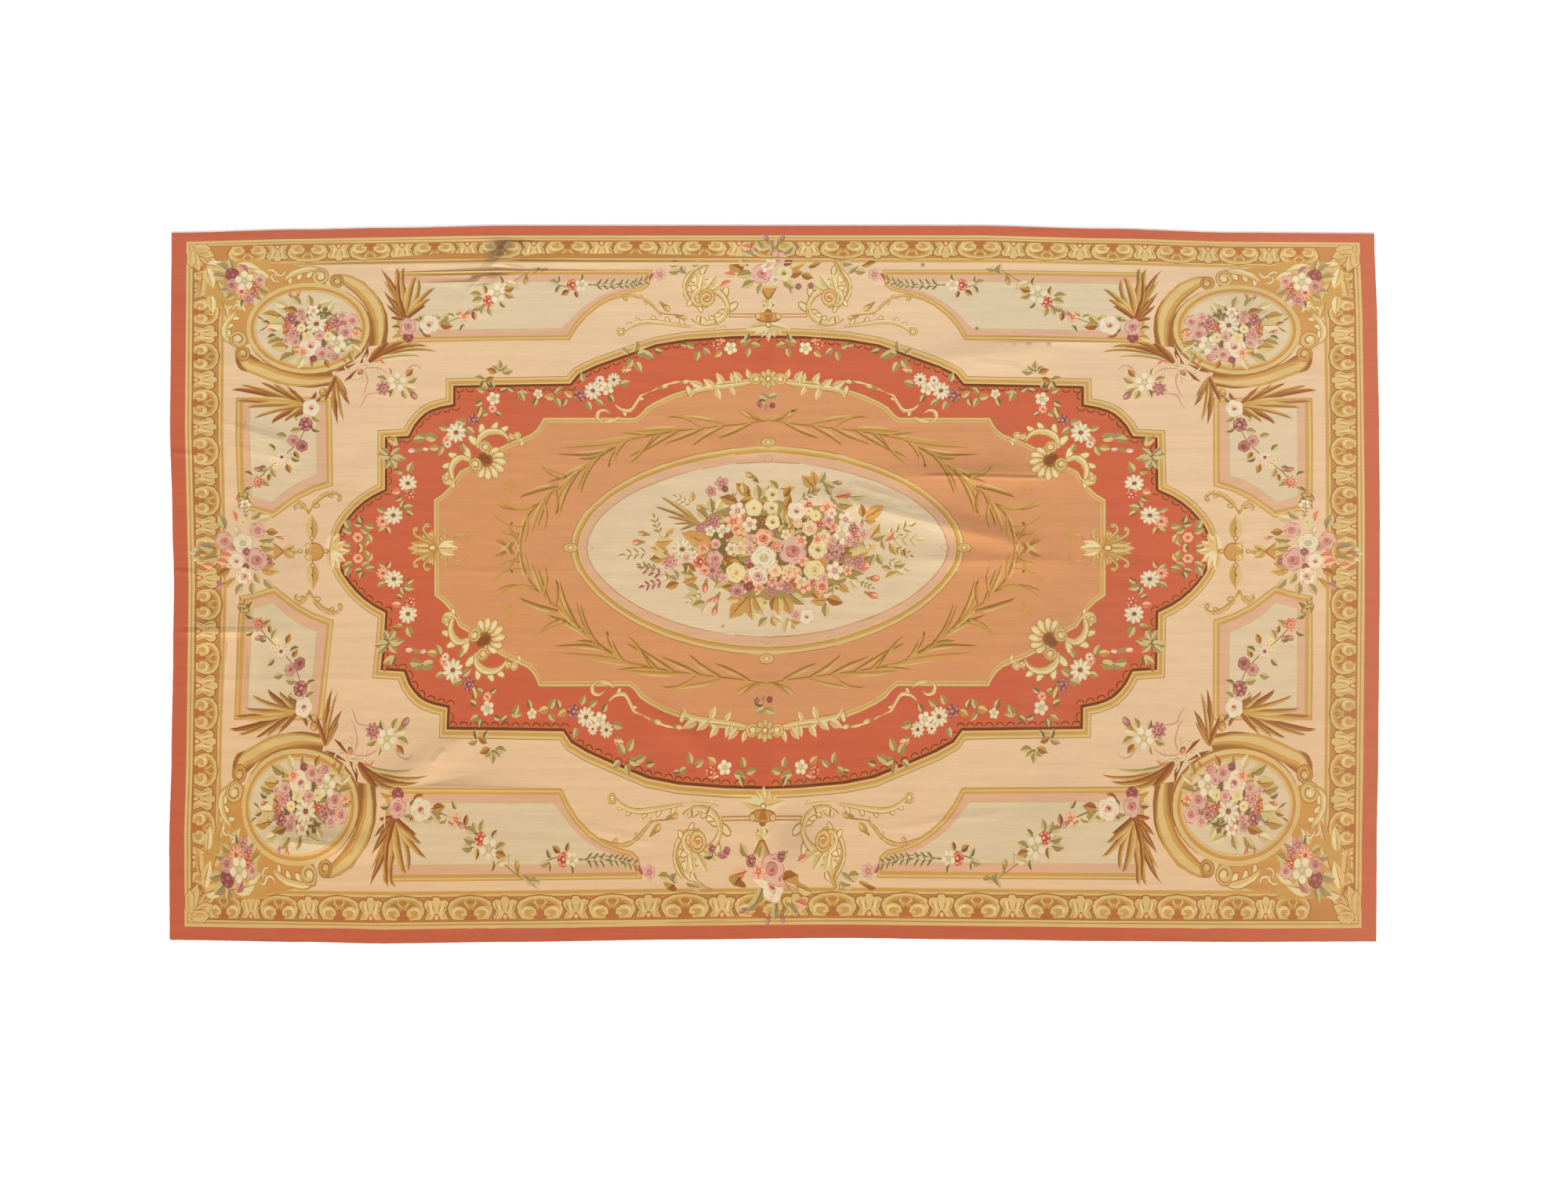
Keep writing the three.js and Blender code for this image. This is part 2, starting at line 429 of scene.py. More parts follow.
def sprig(pen, length, palette, leaves=3, spread=55):
    for i in range(leaves):
        turn = 0 if leaves == 1 else -spread + 2 * spread * i / (leaves - 1)
        size = length * (1 - 0.25 * abs(turn) / 90)
        leaf(pen.at(0, 0, turn), size, size * 0.48, palette)


def blade(pen, palette, fromX, fromY, bendX, bendY, toX, toY, width):
    # a long narrow leaf with a dark under side
    pale, middle, deep = palettes[palette]
    line = []
    for i in range(8):
        t = i / 7
        line.append(((1 - t) ** 2 * fromX + 2 * t * (1 - t) * bendX + t * t * toX,
                     (1 - t) ** 2 * fromY + 2 * t * (1 - t) * bendY + t * t * toY))
    pen.fill(deep, stroke(line, (width * 0.5, width * 1.05, width * 0.9, 0.1)))
    lit = [(x - 0.16 * width, y - 0.22 * width) for x, y in line]
    pen.fill(middle, stroke(lit, (width * 0.3, width * 0.7, width * 0.55, 0.05)))
    if width > 5:
        lit = [(x - 0.26 * width, y - 0.36 * width) for x, y in line[1:-1]]
        pen.fill(pale, stroke(lit, (0.1, width * 0.28, width * 0.2, 0.05)))


def volute(pen, r, palette, turn=0, flip=1):
    # a rolled scroll end: it opens at the origin side and closes on its eye
    pale, middle, deep = palettes[palette]
    held = pen.at(0, 0, turn, 1, flip)
    held.fill(deep, oval(0, 0, r * 1.06, r * 1.0, 0, 14))
    held.fill(middle, oval(0, 0, r * 0.94, r * 0.88, 0, 14))
    spiral = [(math.cos(math.radians(a)) * r * (0.86 - a / 900),
               math.sin(math.radians(a)) * r * (0.82 - a / 900))
              for a in range(0, 560, 35)]
    held.fill(deep, stroke(spiral[:13], (0.05, 0.16 * r, 0.18 * r, 0.2 * r)))
    held.fill(pale, oval(-0.06 * r, -0.1 * r, 0.4 * r, 0.34 * r, 0, 9))


def scrollStem(pen, palette, path, width, lobes=0, side=1):
    # a leafy stem: a tapering ribbon, lobed along one side
    pale, middle, deep = palettes[palette]
    line = curve(path, 5)
    if lobes:
        for i in range(lobes):
            spot = int((i + 0.6) / (lobes + 0.2) * (len(line) - 2))
            (x, y), (nx, ny) = line[spot], line[spot + 1]
            turn = math.degrees(math.atan2(ny - y, nx - x)) + side * 52
            size = width * (1.5 - 0.6 * i / lobes)
            pen.at(x, y, turn).fill(deep, oval(size * 0.5, 0, size * 0.72, size * 0.4, 0, 8))
            pen.at(x, y, turn).fill(pale, oval(size * 0.52, 0, size * 0.58, size * 0.26, 0, 8))
    pen.fill(deep, stroke(line, (width * 0.5, width * 1.1, width * 0.8, width * 0.25)))
    pen.fill(middle, stroke(line, (width * 0.3, width * 0.8, width * 0.55, 0.1)))
    lit = [(x - 0.1 * width, y - 0.18 * width) for x, y in line]
    pen.fill(pale, stroke(lit, (0.1, width * 0.35, width * 0.25, 0.05)))


kinds = {"rose": rose, "open": openRose, "daisy": daisy, "bloom": bloom,
         "carnation": carnation, "cluster": cluster}


def plant(pen, rows):
    # each row: kind, x, y, size, palette, then a turn for the kinds that point somewhere
    for number, row in enumerate(rows.split(",")):
        kind, x, y, size, palette, turn = (row.split() + ["0"])[:6]
        x, y, size, turn = float(x), float(y), float(size), float(turn)
        if kind == "leaf":
            leaf(pen.at(x, y, turn), size, size * 0.56, palette)
        elif kind == "sprig":
            sprig(pen.at(x, y, turn), size, palette)
        elif kind == "pair":
            sprig(pen.at(x, y, turn), size, palette, 2, 32)
        elif kind == "twig":
            twig(pen.at(x, y, turn), size, palette)
        elif kind == "bud":
            bud(pen.at(x, y, turn), size, palette)
        else:
            kinds[kind](pen.at(x, y), size, palette, number + int(x))


def twig(pen, length, palette):
    # a thin stem with small leaves in pairs
    pale, middle, deep = palettes[palette]
    line = [(0, 0), (length * 0.5, -length * 0.06), (length, 0)]
    pen.fill(middle, stroke(curve(line), (0.9, 0.7, 0.4)))
    for i, share in enumerate((0.3, 0.55, 0.8, 1.0)):
        for side in (-1, 1):
            if share == 1.0 and side == 1:
                continue
            turn = 0 if share == 1.0 else side * 48
            leaf(pen.at(length * share, -length * 0.05 * (1 - share), turn), length * 0.3, length * 0.13,
                palette)
# The bands and panels, from the edge to the middle

def drawBands():
    # dye, x of the side, y of the top: each covers all inside it
    bands = [("goldPale", 237, 302.3), ("goldDeep", 240.6, 305.4), ("goldPale", 241.8, 306.3),
        ("goldShade", 245.2, 308.4), ("ground", 246.6, 309.3), ("goldShade", 278.6, 330.3),
        ("goldPale", 279.4, 331.1), ("gold", 282.0, 333.2), ("goldPale", 285.4, 336.0),
        ("field", 286.6, 337.0)]
    for dye, x, y in bands:
        fillAround(dye, dense([(987, y), (x, y), (x, 704)]))


def borderScroll(pen):
    # a horseshoe of two scrolls that curl in at the outer edge, filled with a lobed leaf
    pen.fill("goldShade", [(-0.8, 0.0), (-0.96, 0.22), (-1.03, 0.5), (-0.9, 0.76), (-0.5, 0.96), (0, 1.02),
        (0.5, 0.96), (0.9, 0.76), (1.03, 0.5), (0.96, 0.22), (0.8, 0.0), (0.3, -0.02), (-0.3, -0.02)])
    pen.fill("goldPale", [(-0.76, 0.02), (-0.9, 0.24), (-0.96, 0.5), (-0.84, 0.73), (-0.47, 0.91),
        (0, 0.96), (0.47, 0.91), (0.84, 0.73), (0.96, 0.5), (0.9, 0.24), (0.76, 0.02), (0.3, 0), (-0.3, 0)])
    pen.fill("gold", [(-0.62, 0.06), (-0.78, 0.3), (-0.8, 0.52), (-0.66, 0.7), (-0.36, 0.82), (0, 0.86),
        (0.36, 0.82), (0.66, 0.7), (0.8, 0.52), (0.78, 0.3), (0.62, 0.06)])
    pen.fill("goldDeep", [(-0.62, 0.5), (-0.4, 0.56), (-0.22, 0.5), (0, 0.6), (0.22, 0.5), (0.4, 0.56),
        (0.62, 0.5), (0.52, 0.66), (0.26, 0.76), (0, 0.79), (-0.26, 0.76), (-0.52, 0.66)])
    pen.fill("groundDark", [(-0.3, -0.01), (0.3, -0.01), (0.12, 0.34), (0, 0.46), (-0.12, 0.34)])
    for flip in (-1, 1):
        curl = pen.at(0.44 * flip, 0.26, 0, flip, 1)
        curl.fill("goldPale", stroke([(0.06, -0.22), (0.3, -0.12), (0.3, 0.12), (0.06, 0.22), (-0.2, 0.14),
            (-0.24, -0.04), (-0.06, -0.08)], (0.1, 0.16, 0.18, 0.16, 0.12)))
        curl.fill("goldShade", stroke([(-0.3, -0.08), (-0.3, 0.14), (-0.08, 0.3), (0.16, 0.3)],
            (0.02, 0.05, 0.05, 0.02)))
        curl.fill("cream", stroke([(0.22, -0.1), (0.28, 0.06), (0.14, 0.18), (-0.06, 0.17)],
            (0.02, 0.08, 0.08, 0.02)))
        pen.fill("goldPale", stroke([(0.1 * flip, 0.54), (0.24 * flip, 0.68), (0.16 * flip, 0.82)],
            (0.06, 0.09, 0.02)))


def borderLeaf(pen):
    # an upright leaf with a bead at its foot, its lobes turned inward
    pen.fill("goldShade", [(-0.95, 0.0), (0.95, 0.0), (0.7, 0.3), (1.0, 0.56), (0.94, 0.76), (0.66, 0.88),
        (0.36, 0.86), (0.24, 0.98), (-0.24, 0.98), (-0.36, 0.86), (-0.66, 0.88), (-0.94, 0.76),
        (-1.0, 0.56), (-0.7, 0.3)])
    pen.fill("goldPale", [(-0.84, 0.02), (0.84, 0.02), (0.6, 0.32), (0.9, 0.58), (0.84, 0.74), (0.6, 0.82),
        (0.3, 0.78), (0.18, 0.93), (-0.18, 0.93), (-0.3, 0.78), (-0.6, 0.82), (-0.84, 0.74), (-0.9, 0.58),
        (-0.6, 0.32)])
    for flip in (-1, 1):
        pen.fill("goldDeep", stroke([(0.1 * flip, 0.3), (0.24 * flip, 0.5), (0.3 * flip, 0.76)],
            (0.02, 0.1, 0.02)))
        pen.fill("goldDeep", stroke([(0.4 * flip, 0.3), (0.62 * flip, 0.5), (0.66 * flip, 0.74)],
            (0.02, 0.09, 0.02)))
        pen.fill("cream", stroke([(0.24 * flip, 0.16), (0.38 * flip, 0.42), (0.46 * flip, 0.72)],
            (0.02, 0.12, 0.02)))
        pen.fill("gold", stroke([(0.68 * flip, 0.04), (0.5 * flip, 0.2), (0.62 * flip, 0.36)],
            (0.05, 0.12, 0.02)))
    pen.fill("groundDark", [(-0.36, -0.02), (0.36, -0.02), (0.08, 0.26), (-0.08, 0.26)])
    pen.fill("coralPale", oval(0, 0.1, 0.15, 0.1, 0, 6))


def borderCorner(pen):
    # a spread leaf in the corner
    for turn, length in ((45, 44), (20, 34), (70, 34), (2, 27), (88, 27)):
        held = pen.at(243, 311, turn, 1, 0.95)
        held.fill("goldShade", [(2, 0), (length * 0.3, -6.5), (length * 0.7, -6.8), (length, 0),
            (length * 0.7, 6.8), (length * 0.3, 6.5)])
        held.fill("goldPale", [(2, 0), (length * 0.3, -5.6), (length * 0.7, -5.8), (length * 0.95, 0),
            (length * 0.7, 5.8), (length * 0.3, 5.6)])
        held.fill("gold", stroke([(4, 1.5), (length * 0.5, 2.6), (length * 0.86, 1)], (0.3, 2.4, 0.3)))
        held.fill("goldDeep", stroke([(3, 0), (length * 0.8, 0)], (1.1, 0.3)))
    for turn in (33, 57):
        pen.at(252, 320, turn).fill("groundDark", [(8, 0), (17, -1.6), (21, 0), (17, 1.6)])


border = {"topY": 310.2, "sideX": 247.3, "pitch": 66, "scrollShare": 0.345, "leafShare": 0.205}


def drawBorder():
    for end, middle, pitch, slow in ((1, 987, 88.3, 0.068), (-1, 968, 94.1, 0.14)):
        row = Pen(((1, end),))

        def along(k):
            return middle + pitch * k - slow * k * k * k
        for k in range(-8, 9):
            wide = (along(k + 0.5) - along(k - 0.5)) * border["scrollShare"]
            borderScroll(row.at(along(k), border["topY"], 0, wide, 22.4))
            if k < 8:
                wide = (along(k + 1) - along(k)) * border["leafShare"]
                borderLeaf(row.at(along(k + 0.5), border["topY"], 0, wide, 22.2))
    column = Pen(sides)
    for k in range(-12, 13):
        t = -k * border["pitch"] / leaning["halfWidth"]
        y = cartoon["middleY"] + cartoon["row"] * t + cartoon["growth"] * t * t
        squash = (cartoon["row"] + 2 * cartoon["growth"] * t) / cartoon["row"]
        spot = column.at(border["sideX"], y, -90, -1, 1)
        if k % 2:
            borderLeaf(spot.at(0, 0, 0, 14.6 * squash, 32.4))
        else:
            borderScroll(spot.at(0, 0, 0, 20.4 * squash, 33.4))
    borderCorner(Pen(every))


def drawPanels():
    pen = Pen(every)
    pen.fill("gold", [(505, 345.5), (600, 345.5), (700, 345.5), (838, 345.5), (837, 356), (834, 366),
        (826, 372), (806, 376), (788, 382), (770, 392), (754, 404), (741, 419), (731, 435), (640, 435.5),
        (508, 437)])
    pen.fill("goldPale", [(508, 347), (600, 347), (700, 347), (836, 347), (835, 356), (832, 365),
        (824, 370.5), (804, 374.5), (786, 380.5), (768, 390), (752, 402.5), (739, 417), (729.5, 432.5),
        (640, 433.2), (508, 434.5)])
    pen.fill("gold", [(508, 348.6), (600, 348.6), (700, 348.6), (834, 348.6), (833, 356), (830, 364),
        (823, 369.3), (803, 373.2), (785, 379), (767, 388.5), (751, 401), (738, 415.4), (729, 430.8),
        (640, 431.6), (508, 433)])
    pen.fill("pinkBand", [(512, 352), (600, 352), (700, 352), (831, 352), (829, 363), (822, 368),
        (802, 371.8), (784, 377.6), (766, 387), (749.5, 399), (736.5, 413.4), (727, 428.4), (640, 429),
        (512, 430.2)])
    pen.fill("panelEdge", [(516, 360), (600, 359.6), (700, 359.4), (826, 359), (818, 363.4), (800, 367),
        (780, 373.6), (761, 383), (745, 394.4), (731, 409), (720.6, 421), (640, 421.4), (516, 422.4)])
    pen.fill("panel", [(518, 361.4), (600, 361), (700, 360.8), (823, 360.4), (817, 364.4), (799, 368.4),
        (779.4, 375), (760, 384.6), (744, 396), (730, 410.2), (720, 419.6), (640, 420), (518, 421)])
    pen.fill("gold", [(301.6, 506), (424, 506), (425, 540), (424.6, 600), (425, 620), (402, 627),
        (380, 637.6), (362, 651), (348, 661.4), (330, 655), (302.4, 648.6), (301.6, 600), (301, 560)])
    pen.fill("goldPale", [(304.4, 508), (422.4, 508), (423, 540), (422.6, 600), (422.8, 618.4),
        (400, 625.4), (378, 636), (360, 649.2), (347.6, 659), (330, 653), (304.6, 647), (304, 600),
        (303.6, 560)])
    pen.fill("gold", [(306.4, 510), (419.8, 510), (420, 540), (419.8, 600), (420, 616.6), (398.4, 623.6),
        (376.4, 634), (358.4, 646.8), (347.2, 656), (330, 650.6), (306.6, 645), (306, 600), (306, 560)])
    pen.fill("pinkBand", [(310.6, 513), (416.4, 513), (416.6, 540), (416.4, 600), (416.6, 613.4),
        (396.4, 620.6), (374.8, 631), (357, 644), (346.8, 651.6), (330, 647), (311, 641.6), (310.6, 600),
        (310.6, 560)])
    pen.fill("panelEdge", [(318.6, 518), (405.6, 518), (405.8, 560), (405.4, 606.6), (386, 614),
        (366, 625.6), (351.4, 638), (345.6, 642), (333, 639), (319, 635), (318.6, 600), (318.4, 560)])
    pen.fill("panel", [(320.4, 519.4), (404, 519.4), (404.2, 560), (403.8, 605.4), (385, 612.6),
        (365, 624.2), (350.6, 636.4), (345.2, 640), (333, 637.2), (320.6, 633.4), (320.2, 600), (320, 560)])


# the edge of the red cartouche, from the middle of the long side to that of the short side
cartouche = dense([(987, 419.4), (940, 420.4), (880, 424.4), (840, 431), (800, 444.4), (760, 458.6),
    (736, 470), (727, 480.6)], 12)[:-1]
cartouche += dense([(727, 480.6), (570.6, 483), (570.6, 508)], 20)[:-1]
cartouche += [(570.6, 508), (560, 510), (548, 514), (538, 519.6), (529.6, 527.4), (522, 536.6),
    (516.4, 547)]
cartouche += dense([(516.4, 547), (483, 549), (482, 619)], 20)[1:]
cartouche += [(471, 624.4), (458, 633), (446, 643.6), (436, 655), (427, 668), (421, 681), (417.6, 692),
    (416.6, 704)]


def drawCartouche():
    for dye, by in (("goldShade", 0), ("goldPale", 0.8), ("gold", 3.6), ("goldPale", 7.4), ("lace", 9.4)):
        fillAround(dye, inset(cartouche, by))
    fillAround("ring", inset(cartouche, 12.6))
    line = dense(inset(cartouche, 13.0), 4)
    rim = Pen(every)
    reach, last = 0, line[0]
    for spot, following in zip(line, line[1:]):
        reach += math.hypot(spot[0] - last[0], spot[1] - last[1])
        last = spot
        if reach > 10.5:
            reach = 0
            turn = math.degrees(math.atan2(following[1] - spot[1], following[0] - spot[0]))
            loop = rim.at(spot[0], spot[1], turn)
            loop.fill("lace", [(-5.4, -1), (-4.6, -3.6), (-2.4, -5.2), (0, -5.6), (2.4, -5.2), (4.6, -3.6),
                (5.4, -1)])
            loop.fill("laceLoop", [(-4.4, 0), (-3.6, -2.8), (-1.8, -4.2), (0, -4.6), (1.8, -4.2),
                (3.6, -2.8), (4.4, 0)])
            loop.fill("ring", [(-2.6, -2.6), (-1.2, -4.1), (0, -4.3), (1.2, -4.1), (2.6, -2.6), (0, -1.8)])


innerField = (dense([(987, 482), (930, 487), (885, 496.6), (862, 504), (842, 513), (830, 520), (822, 529),
    (815, 533.4), (697, 533.4)], 16)[:-1] + [(697, 533.4), (693, 541), (688, 548), (680, 554.6), (666, 560),
    (650, 566), (634, 574), (616, 586), (600, 596), (588, 602), (582, 612), (575, 623), (566, 632),
    (554.6, 640)] + dense([(554.6, 640), (554.6, 704)], 16)[1:])


def drawInnerField():
    for dye, by in (("goldShade", -0.6), ("goldPale", 0), ("gold", 2.6), ("goldPale", 4.6),
            ("salmon", 5.8)):
        fillAround(dye, inset(innerField, by))


def drawOval():
    def outline(rx, ry):
        path = []
        for i in range(25):
            angle = math.pi / 2 * i / 24
            along = math.sin(angle) ** (2 / 1.88)
            away = math.cos(angle) ** (2 / 1.88)
            v = ry * away / 908
            path.append((987 - rx * along, 704 - 455.5 * v + 41.5 * v * v))
        return path
    for dye, rx, ry in (("goldShade", 255.6, 277), ("goldPale", 254.6, 275), ("gold", 251, 267),
            ("goldDeep", 247.4, 260), ("goldPale", 246, 257.6), ("pinkBand", 244.4, 254.6),
            ("ovalLine", 235, 234.6), ("oval", 233.4, 231.6)):
        fillAround(dye, outline(rx, ry))
    for x, y, quarters in ((987, 564.5, upDown), (731.5, 703.4, sides)):
        node = Pen(quarters).at(x, y)
        node.fill("goldShade", oval(0, 0, 10.4, 6.6, 0, 8))
        node.fill("goldPale", oval(0, 0, 9.4, 5.6, 0, 8))
        node.fill("gold", oval(0, 0, 4.4, 4.2, 0, 8))
        node.fill("cream", oval(0, 0, 2.6, 2.4, 0, 8))
    for x, y, quarters in ((987, 586, upDown), (755, 703.4, sides)):
        node = Pen(quarters).at(x, y)
        for turn in (0, 90):
            node.fill("ovalLine", stroke([(-6.6, 0), (0, -5.2), (6.6, 0)], (0.8,)))
            node.fill("ovalLine", stroke([(-6.6, 0), (0, 5.2), (6.6, 0)], (0.8,)))
# Ornaments. Rows for plant: kind, x, y, size, palette, and a turn for leaves, buds and twigs

def ribbon(pen, outer, inner):
    # a flat scroll band between two edges, dark along its inner one
    out, within = curve(outer, 3), curve(inner, 3)
    pen.fill("strawDark", out + within[::-1])
    width = math.hypot(out[len(out) // 2][0] - within[len(within) // 2][0], out[len(out) // 2][1]
        - within[len(within) // 2][1])
    for dye, share, wide in (("goldDeep", 0.5, 0.92), ("gold", 0.56, 0.76), ("goldPale", 0.6, 0.4)):
        line = []
        for i in range(15):
            ax, ay = out[int(i * (len(out) - 1) / 14)]
            bx, by = within[int(i * (len(within) - 1) / 14)]
            line.append((ax * share + bx * (1 - share), ay * share + by * (1 - share)))
        pen.fill(dye, stroke(line, (width * wide * 0.4, width * wide, width * wide, width * wide * 0.4)))


medallion = {"x": 393.5, "y": 417.5, "rx": 79.0, "ry": 58.5}

medallionRows = """
leaf 366 388 18 pale 195, leaf 384 386 17 leaf 220, leaf 398 388 15 leaf 250, leaf 356 402 22 straw 190,
leaf 362 412 22 pale 178, leaf 360 432 20 leaf 165, leaf 366 440 20 straw 175, leaf 374 450 20 leaf 150,
leaf 386 455 16 pale 110, leaf 400 456 14 leaf 90, leaf 415 458 13 bark 60, leaf 447 432 17 leaf 10,
leaf 450 442 14 pale 30, leaf 446 450 14 leaf 60, leaf 452 418 12 bark 20, leaf 380 396 17 bark 195,
leaf 412 398 11 leaf 280, leaf 420 396 14 pale 300, leaf 408 388 18 pale 340, bud 381 373 5 coral -80,
bud 370 374 4.5 pink -110, bud 347 420 5 coral 190, leaf 352 426 12 grey 160, leaf 345 412 12 straw 200,
cluster 372 405 8.5 mauve, carnation 375 425 10 pink, bloom 386 404 8 pink, daisy 385 417 6.5 yellow,
rose 377 435 7 pink, cluster 367 415 6 coral, carnation 431 410 11 mauve, rose 450 408 9 pink,
rose 441 423 10.5 pink, bloom 400 395 8 blush, open 397 440 15 blush, carnation 427 454 7.5 pink,
rose 411 450 9 pink, bloom 430 437 12.5 white, daisy 419 428 7.5 yellow, daisy 404 412 14.5 white,
cluster 412 402 4.5 grey, bud 441 460 4 coral 40, bloom 393 428 8 yellow, rose 408 427 7 pink,
bloom 387 448 7 coral, cluster 420 416 6 coral, bloom 437 402 7 pink, rose 421 443 6 pink,
cluster 400 457 5 plum, bloom 455 425 6 coral, bloom 384 397 6 mauve, bloom 365 433 5 pink"""

sprayRows = """
leaf 292 342 20 grey 212, leaf 288 350 18 grey 190, leaf 296 338 14 grey 250, leaf 316 344 16 mauve 222,
leaf 300 372 14 leaf 150, leaf 292 366 13 grey 170, leaf 330 364 16 leaf 25, leaf 326 370 14 grey 55,
leaf 312 378 12 leaf 110, cluster 296 347 10 plum, rose 295 360 8.5 mauve, bloom 317 379 8.5 mauve,
cluster 325 372 6 pink, rose 331 354 8 pink, cluster 324 362 6.5 coral, daisy 308 369 9.5 coral,
bloom 312 355 12.5 white"""


def drawMedallions():
    pen = Pen(every)
    x, y, rx, ry = (medallion[name] for name in ("x", "y", "rx", "ry"))
    pen.fill("ochre", [(322, 334), (345, 334), (372, 336), (404, 341), (416, 352), (416, 366), (340, 380),
        (326, 364)])
    pen.fill("ochre", [(290, 396), (304, 392), (322, 382), (330, 400), (326, 436), (306, 440), (292, 420)])
    pen.fill("fieldEdge", [(288, 441), (296, 440), (308, 446), (318, 452), (330, 470), (344, 484),
        (310, 476), (288, 470)])
    pen.fill("gold", [(262, 329), (345, 328), (345, 352), (330, 372), (318, 384), (300, 396), (287, 396),
        (262, 380)])
    for leafX, leafY, turn, size, dye in ((262, 332, 12, 30, "scroll"), (262, 336, 70, 30, "scroll"),
            (284, 338, 24, 28, "gold"), (276, 356, 62, 28, "gold"), (300, 336, 8, 32, "scroll"),
            (268, 372, 82, 26, "scroll"), (322, 344, 20, 24, "scroll"), (284, 384, 70, 22, "gold"),
            (330, 350, 70, 20, "gold"), (300, 380, 50, 20, "scroll"), (258, 350, 96, 26, "gold"),
            (300, 352, 40, 24, "pale")):
        leaf(pen.at(leafX, leafY, turn), size, size * 0.42, dye)
    # the two flat scrolls round the far side of the ring
    ribbon(pen, [(428, 349), (440, 348.5), (454, 354), (468, 362), (480, 374), (489, 387), (495, 402),
        (496.5, 420), (494, 438)], [(424, 360), (438, 362), (451, 370), (461, 382), (469, 396),
        (472.5, 412), (472.5, 430), (470, 442)])
    ribbon(pen, [(301, 448), (301, 460), (308, 471), (326, 476), (342, 483), (358, 489), (380, 493),
        (402, 494), (430, 490)], [(313, 444), (322, 452), (334, 460), (348, 467), (365, 473), (385, 476.5),
        (404, 476.5), (424, 474)])
    volute(pen.at(430, 357), 9, "gold", 200)
    volute(pen.at(310, 449.5), 10, "gold", 60)
    # the leafy stems and their pale volutes on the near side
    scrollStem(pen, "scroll", [(408, 342), (396, 341), (382, 344), (370, 350), (362, 358)], 9, 3, -1)
    scrollStem(pen, "scroll", [(296, 436), (287, 428), (287, 414), (295, 403), (303, 396)], 9, 3, 1)
    volute(pen.at(408.5, 351), 11, "scroll", 150)
    volute(pen.at(304, 431), 11.5, "scroll", 30)
    for curlX, curlY, turn in ((352, 352, 30), (346, 347, 200), (358, 344, 330), (313, 388, 60),
            (303, 391, 150), (295, 394, 100)):
        curl = pen.at(curlX, curlY, turn)
        curl.fill("strawDark", stroke(arc(0, 0, 6, 5, 0, 230, 8), (0.6, 3.6, 3.2, 0.4)))
        curl.fill("cream", stroke(arc(0, 0, 6, 5, 8, 220, 8), (0.4, 2.4, 2.2, 0.2)))
    # the ring, darkest on the side away from the corner
    pen.fill("goldShade", oval(x + 1.4, y + 1.4, rx + 1.2, ry + 1, 0, 34))
    for dye, step in (("goldPale", 0), ("goldDeep", 5.4), ("ochre", 6.2), ("goldPale", 9.4),
            ("creamShade", 11.6), ("panel", 12.4)):
        pen.fill(dye, oval(x, y, rx - step, ry - step * 0.94, 0, 34))
    for fromX, fromY, toX, toY in ((328, 401, 338, 406), (330, 421, 342, 414)):
        pen.line("leafDark", [(fromX, fromY), ((fromX + toX) / 2, (fromY + toY) / 2 + 0.8), (toX, toY)],
            0.4, 2.4, 0.3)
    pen.line("ochre", [(340, 400), (352, 405), (360, 412), (364, 426), (368, 434)], 0.6, 3.2, 2.6, 0.4)
    thicket(pen, x + 6, y + 3, 50, 33, 30, ("leaf", "bark", "grey", "straw", "leaf", "bark", "grey"), 3)
    pen.fill("greyLeafDark", oval(x + 16, y + 4, 36, 26, 6, 14))
    thicket(pen, x + 14, y + 5, 38, 26, 18, ("grey", "leaf", "bark", "straw"), 5)
    plant(pen, medallionRows)
    plant(pen, sprayRows)


def frond(pen, baseX, baseY, blades):
    # blades: tip x and y, bend x and y, width and palette, from one foot
    for tipX, tipY, bendX, bendY, width, palette in blades:
        blade(pen, palette, baseX, baseY, bendX, bendY, tipX, tipY, width * 1.35)


